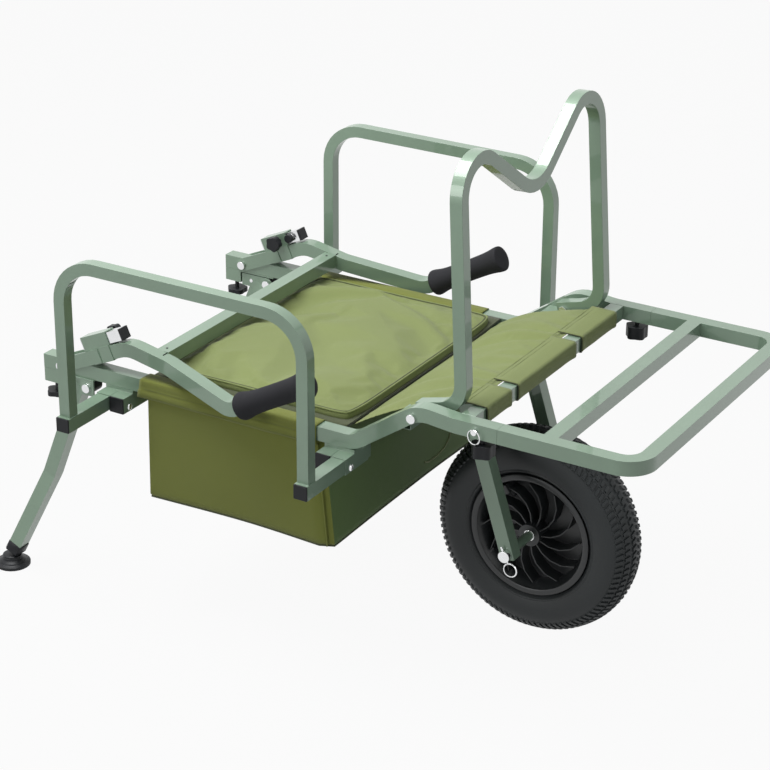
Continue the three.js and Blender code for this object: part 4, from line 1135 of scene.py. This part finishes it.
bag_rows = bag_walls()
ring_size = 4 * bag_steps
bag_middle = sum(p[0] for p in bag_rows[-1]) / ring_size
floor_rows = [
    [(bag_middle + (x - bag_middle) * shrink, y * shrink, bag_floor_z + 2.2) for x, y, z in bag_rows[-1]]
    for shrink in (0.82, 0.5, 0.2)
]
points = [at(*p) for row in bag_rows + floor_rows for p in row]
faces = lattice(len(bag_rows + floor_rows), ring_size, round_columns=True)
faces.append(end_faces(len(points), ring_size)[1])
bag = outward(made("bag_shell", points, faces, [wall_nylon_painted_shade, front_nylon_painted_shade]))
# Faces turned towards the wheel take the second nylon, the same cloth painted darker: painted shade.
for face in bag.data.polygons:
    face.material_index = int(face.normal.x > 0.6)
thick(bag, 1.6)
sewn_on(bag, "bag")
bag_round = 2 * ((bag_front_top - bag_rear_top) + 2 * bag_half_top) * MM
bag_drop = (bag_top_z - bag_floor_z) * MM
bag_area = bag_round * bag_drop + (bag_front_foot - bag_rear_foot) * 2 * bag_half_foot * MM * MM
bag_area / bag_round
print(f"bag {bag_round:.2f} m round, {bag_drop:.2f} m deep, {bag_area:.2f} square metres of cloth")

# %% Bag seams
corner_out = 1.6
for number, name in enumerate(("rear_right", "front_right", "front_left", "rear_left")):
    line = []
    for row in bag_rows:
        x, y, z = (Vector(row[number * bag_steps]) + Vector(row[number * bag_steps - 1])) / 2
        line.append((x + math.copysign(corner_out, x - bag_middle), y + math.copysign(corner_out, y), z))
    cord(f"bag_corner_{name}", line[1:], 1.5, wall_nylon_painted_shade)
cord("bag_floor_piping", [(x, y, z - 1.0) for x, y, z in bag_rows[-4]], 1.7, seam_cloth, True)
front_seam = [(130, 300), (123, 264), (112, 247), (96, 236), (68, 231), (42, 231), (24, 237)]
seam_steps = 6


def on_bag_front(y, z):
    """A place just in front of the bag's front wall."""
    share = (bag_top_z - z) / (bag_top_z - bag_floor_z)
    ring = bag_ring(share, 0)[bag_steps:2 * bag_steps]
    return min(ring, key=lambda p: abs(p.y - y)).x + 0.6, y, z


seam_line = []
for start, end in zip(front_seam, front_seam[1:]):
    for step in range(seam_steps):
        seam_line.append(on_bag_front(*Vector(start).lerp(Vector(end), step / seam_steps)))
cord("bag_front_piping", seam_line, 1.5, piping_cloth)
print("bag seams piped")

# %% [markdown]
# The bag is closed by a flat top that is stretched between the rails and turns down over its walls.
# Over each low rail a strip of the side's cloth is folded and hangs down outside as a hem, with a
# stitched line near its lower edge. The strip's rear end is cut at a slant.

# %% Bag top and rail strips
top_rear, top_front = -607, -224
top_flat, top_rows = 24, 40
top_half, top_dip = rail_inner - 1.2, 5
top_profile = [
    (bag_rear_top + 0.5, bag_top_z + 1), (bag_rear_top + 2, bag_top_z + 10), (top_rear - 2, low_rail_top - 5),
]
top_profile += [(top_rear + (top_front - top_rear) * k / top_flat, low_rail_top) for k in range(top_flat + 1)]
top_profile += [
    (top_front - 2, low_rail_top - 6), (top_front - 14, bag_top_z + 9), (bag_front_top + 1, bag_top_z + 1),
]


def bag_top_place(u, v):
    x, z = step_of(top_profile, u)
    dip = top_dip * math.sin(math.pi * u) * math.sin(math.pi * v)
    return x, (2 * v - 1) * top_half, z - dip + 1.2 * noise.noise(Vector((u * 5, v * 7, 0)))


bag_top = grid("bag_top", bag_top_place, len(top_profile) - 1, top_rows, seam_cloth, smooth=60)
sewn_on(thick(bag_top, 1.4))

strip_rear, strip_front = -610, -263
strip_steps, strip_slant = 60, 13
strip_section = [(rail_inner - 1.6, low_rail_bottom + 2)]
strip_inner = ((-1.8, -3), (-0.8, 1.0), (1.5, 1.9))
strip_outer = (
    (-2, 1.9), (0.8, 1.2), (1.9, -1.5), (2.1, -9), (2.0, -17), (3.4, -19), (3.6, -26), (3.2, -31), (2.0, -32),
)
for edge, steps in ((rail_inner, strip_inner), (rail_outer, strip_outer)):
    strip_section += [(edge + out, low_rail_top + lift) for out, lift in steps]
strip_width = run_length(strip_section) * MM


def strip_on(sign):
    """The place function of one side's strip."""
    def place(u, v):
        y, z = step_of(strip_section, v)
        x = strip_rear + (strip_front - strip_rear) * u
        wave = 1.1 * noise.noise(Vector((x * 0.018, sign * 3.0, v ** 2)))
        droop = 1.6 * noise.noise(Vector((x * 0.012, sign * 9.0, 1.0)))
        return x - strip_slant * v * (1 - u), sign * (y + wave * v ** 2), z + droop * v ** 2

    return place


for side, sign in signed_sides:
    strip = grid(f"rail_strip_{side}", strip_on(sign), strip_steps, len(strip_section) - 1, wall_nylon_painted_shade, 60)
    sewn_on(thick(strip, 1.2, 0))
print(f"rail strips {strip_width:.3f} m wide")

# %% [markdown]
# ## Apron
#
# The apron closes the gap between the lid and the wheel. It is pulled over the front crossbar, where
# its hem is cut away twice to bare the tube, and its pull makes long folds that run back from those cuts.

# %% Apron sheet
apron_columns, apron_rows = 40, 96
seam_x = bar_low.x - 19
sheet_end = bar_low.x - 1
sheet_end_z = bar_high.z + 1.6
apron_rear_x, apron_rear_z = -217, 428
apron_half, apron_flare, flare_share = 228, 22, 0.52
apron_swell, apron_pull = 15, 6.0
cuts = ((-150, -126), (77, 101))
hem_end = 230


def apron_place(u, v):
    x = apron_rear_x + (sheet_end - apron_rear_x) * u
    flare = max(0, 1 - u / flare_share)
    y = (2 * v - 1) * (apron_half + apron_flare * flare * (2 - flare))
    arch = math.sin(math.pi * u)
    rest = apron_rear_z + (sheet_end_z - apron_rear_z) * u + apron_swell * arch * (1 - 0.35 * u)
    pull = 0.0
    for low, high in cuts:
        ray = (y - (low + high) / 2) / (30 + 130 * (1 - u))
        pull += apron_pull * math.cos(ray * 9.0) * math.exp(-ray * ray * 2.0) * arch ** 0.7
    return x, y, rest + pull


def apron_border(index):
    row, column = divmod(index, apron_columns + 1)
    if column < 2 or column > apron_columns - 2:
        return 1.0
    return 0.35 if row < 2 or row > apron_rows - 2 else 0.0


apron = grid("apron_sheet", apron_place, apron_columns, apron_rows, lid_cloth)
puckered(apron, apron_border, grow=0.018, pressure=0.02, cap=7, bend=1.5)
thick(apron, 1.3)
sewn_on(subdivided(apron), "apron")

# %% Apron hem round the crossbar
cloth_gap = 1.9
rear_x, front_x = bar_low.x - cloth_gap, bar_high.x + cloth_gap
under_z, over_z = bar_low.z - cloth_gap, bar_high.z + cloth_gap
hem_section = [
    (seam_x + 1.0, over_z - 0.2), (rear_x + 1, over_z), (front_x - 5, over_z), (front_x - 1.8, over_z - 0.6),
    (front_x, over_z - 3), (front_x + 0.2, (over_z + under_z) / 2), (front_x, under_z + 3),
    (front_x - 1.5, under_z + 0.5), (front_x - 5, under_z), (rear_x + 2, under_z), (seam_x + 4, under_z + 1),
]
hem_width = run_length(hem_section) * MM


def hem_piece(name, start, end):
    """One length of hem, a little loose and gaping at its two cut ends."""
    def place(u, v):
        y = start + (end - start) * u
        x, z = step_of(hem_section, v)
        loose = 0.9 * noise.noise(Vector((y * 0.03, v * 3, 5.0)))
        gape = 1.6 * (abs(2 * u - 1) ** 8)
        outside = 1 if x > bar_low.x + 12 else -0.2
        return x + (loose + gape) * outside, y, z + loose * 0.5 + gape * (0.5 - v)

    piece = grid(name, place, max(6, int((end - start) / 5)), len(hem_section) - 1, lid_cloth, smooth=60)
    sewn_on(thick(piece, 1.3, 0))
    (end - start) * MM


edges = [-hem_end, *cuts[0], *cuts[1], hem_end]
for number, (start, end) in enumerate(zip(edges[::2], edges[1::2])):
    hem_piece(f"apron_hem_{number}", start, end)
for number, y in enumerate(edges):
    loop = [(x + (0.6 if x > 3 else 0), y, z) for x, z in hem_section]
    cord(f"apron_edging_{number}", loop, 1.1, seam_cloth)
print(f"apron with {len(cuts)} cuts, hem to {hem_end} mm each side")

# %% [markdown]
# ## Stitches
#
# A sewn seam is a row of short threads with small gaps. They repeat along a path, so a node tree
# sets points along the path, a thread and a gap apart, and puts one small rod on each, turned along it.

# %% A node tree that sews along a path
def stitch_tree():
    tree = Tree("stitches_along_a_path")
    spacing, length, radius = tree.ask("Spacing"), tree.ask("Length"), tree.ask("Radius")
    path = tree.node("GeometryNodeMeshToCurve", Mesh=tree.given)
    evened = tree.node("GeometryNodeResampleCurve", {"mode": "LENGTH"}, Curve=path, Length=spacing)
    thread = tree.node("GeometryNodeMeshCylinder", Vertices=6, Radius=radius, Depth=length)
    return tree.spread(evened, thread, tree.facing(tree.node("GeometryNodeInputTangent")))


stitches = stitch_tree()
stitch_size = {"Spacing": 3.6 * MM, "Length": 2.5 * MM, "Radius": 0.42 * MM}


def sewn_line(name, places):
    path = dotted(name, places, [(i, i + 1) for i in range(len(places) - 1)])
    return sewn_on(stitches.run(path, Finish=stitch_thread, **stitch_size))


for side, sign in signed_sides:
    for number, (out, drop) in enumerate(((2.8, 15), (4.2, 28.5))):
        y, z = sign * (rail_outer + out), low_rail_top - drop
        sewn_line(f"strip_stitches_{side}_{number}", [(strip_rear + 4, y, z), (strip_front - 4, y, z)])
for number, offset in enumerate((1.5, 8.5)):
    ends = [(seam_x + offset, y, over_z + 0.5) for y in (3 - hem_end, hem_end - 3)]
    sewn_line(f"apron_stitches_{number}", ends)
inset_path = [(lid_middle + (x - lid_middle) * 0.985, y * 0.983, lid_top + 1.1) for x, y in edge_path]
sewn_line("lid_stitches", inset_path + inset_path[:1])
print("seams sewn")

# %% [markdown]
# ## Studio
#
# The photograph is a cut-out on white, lit by large soft lamps from above and from the left. A big
# soft lamp overhead makes the tops of the tubes pale, a weaker one in front fills the near side, and
# a weak one lights the faces towards the wheel. The floor and the sky read as white to the camera
# and in reflections alone.

# %% Floor
reach = 14.0
floor_places = [(reach * a, reach * b, 0) for a, b in square]
pale = Finish("studio_pale", 0.9)
pale.feed("Base Color", (0.26, 0.26, 0.26, 1))
glow = pale.node("ShaderNodeEmission", Color=(1, 1, 1, 1), Strength=1.0)
floor_white = 0.94
seen = (pale.ray("Camera") + pale.ray("Glossy")) * floor_white
mixed = pale.node("ShaderNodeMixShader", None, {0: seen, 1: Wire(pale, pale.shader.outputs[0]), 2: glow})
pale.join(mixed, pale.tree.nodes["Material Output"].inputs["Surface"])
floor = made("studio_floor", floor_places, [(0, 1, 2, 3)], [pale.material])
floor.location.z = -0.0005
floor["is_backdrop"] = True

# %% Lamps and sky
def lamp(name, place, target, size, power):
    data = bpy.data.lights.new(name, "AREA")
    data.shape = "DISK"
    data.size = size
    data.energy = power
    way = (Vector(target) - Vector(place)).normalized()
    turn = way.to_track_quat("-Z", "Y").to_matrix().to_4x4()
    linked(name, data).matrix_world = Matrix.Translation(place) @ turn


lamp("overhead", (-0.9, -0.6, 3.4), (0.0, 0.0, 0.4), 2.4, 146)
lamp("near_side", (-1.6, -3.6, 1.9), (0.0, 0.0, 0.4), 1.8, 42)
lamp("wheel_side", (3.2, -1.2, 2.2), (0.2, 0.0, 0.5), 1.6, 10)
world = bpy.data.worlds.new("studio_sky")
bpy.context.scene.world = world
world.use_nodes = True
sky = Graph(world.node_tree)
lit = sky.node("ShaderNodeBackground", Color=(0.93, 0.96, 1.0, 1), Strength=0.27)
white = sky.node("ShaderNodeBackground", Color=(1, 1, 1, 1), Strength=1.0)
seen = sky.ray("Camera").larger(sky.ray("Transmission")).larger(sky.ray("Glossy"))
mixed = sky.node("ShaderNodeMixShader", None, {0: seen, 1: lit, 2: white})
sky.join(mixed, sky.tree.nodes["World Output"].inputs["Surface"])
bpy.context.scene.view_settings.view_transform = "Standard"
print("studio lit")

# %% [markdown]
# ## Measure and finish
#
# The dressed trolley must be as large as its frame, so its box is printed.

# %% Sizes
low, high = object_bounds()
print("dressed", [round(b - a, 4) for a, b in zip(low, high)])
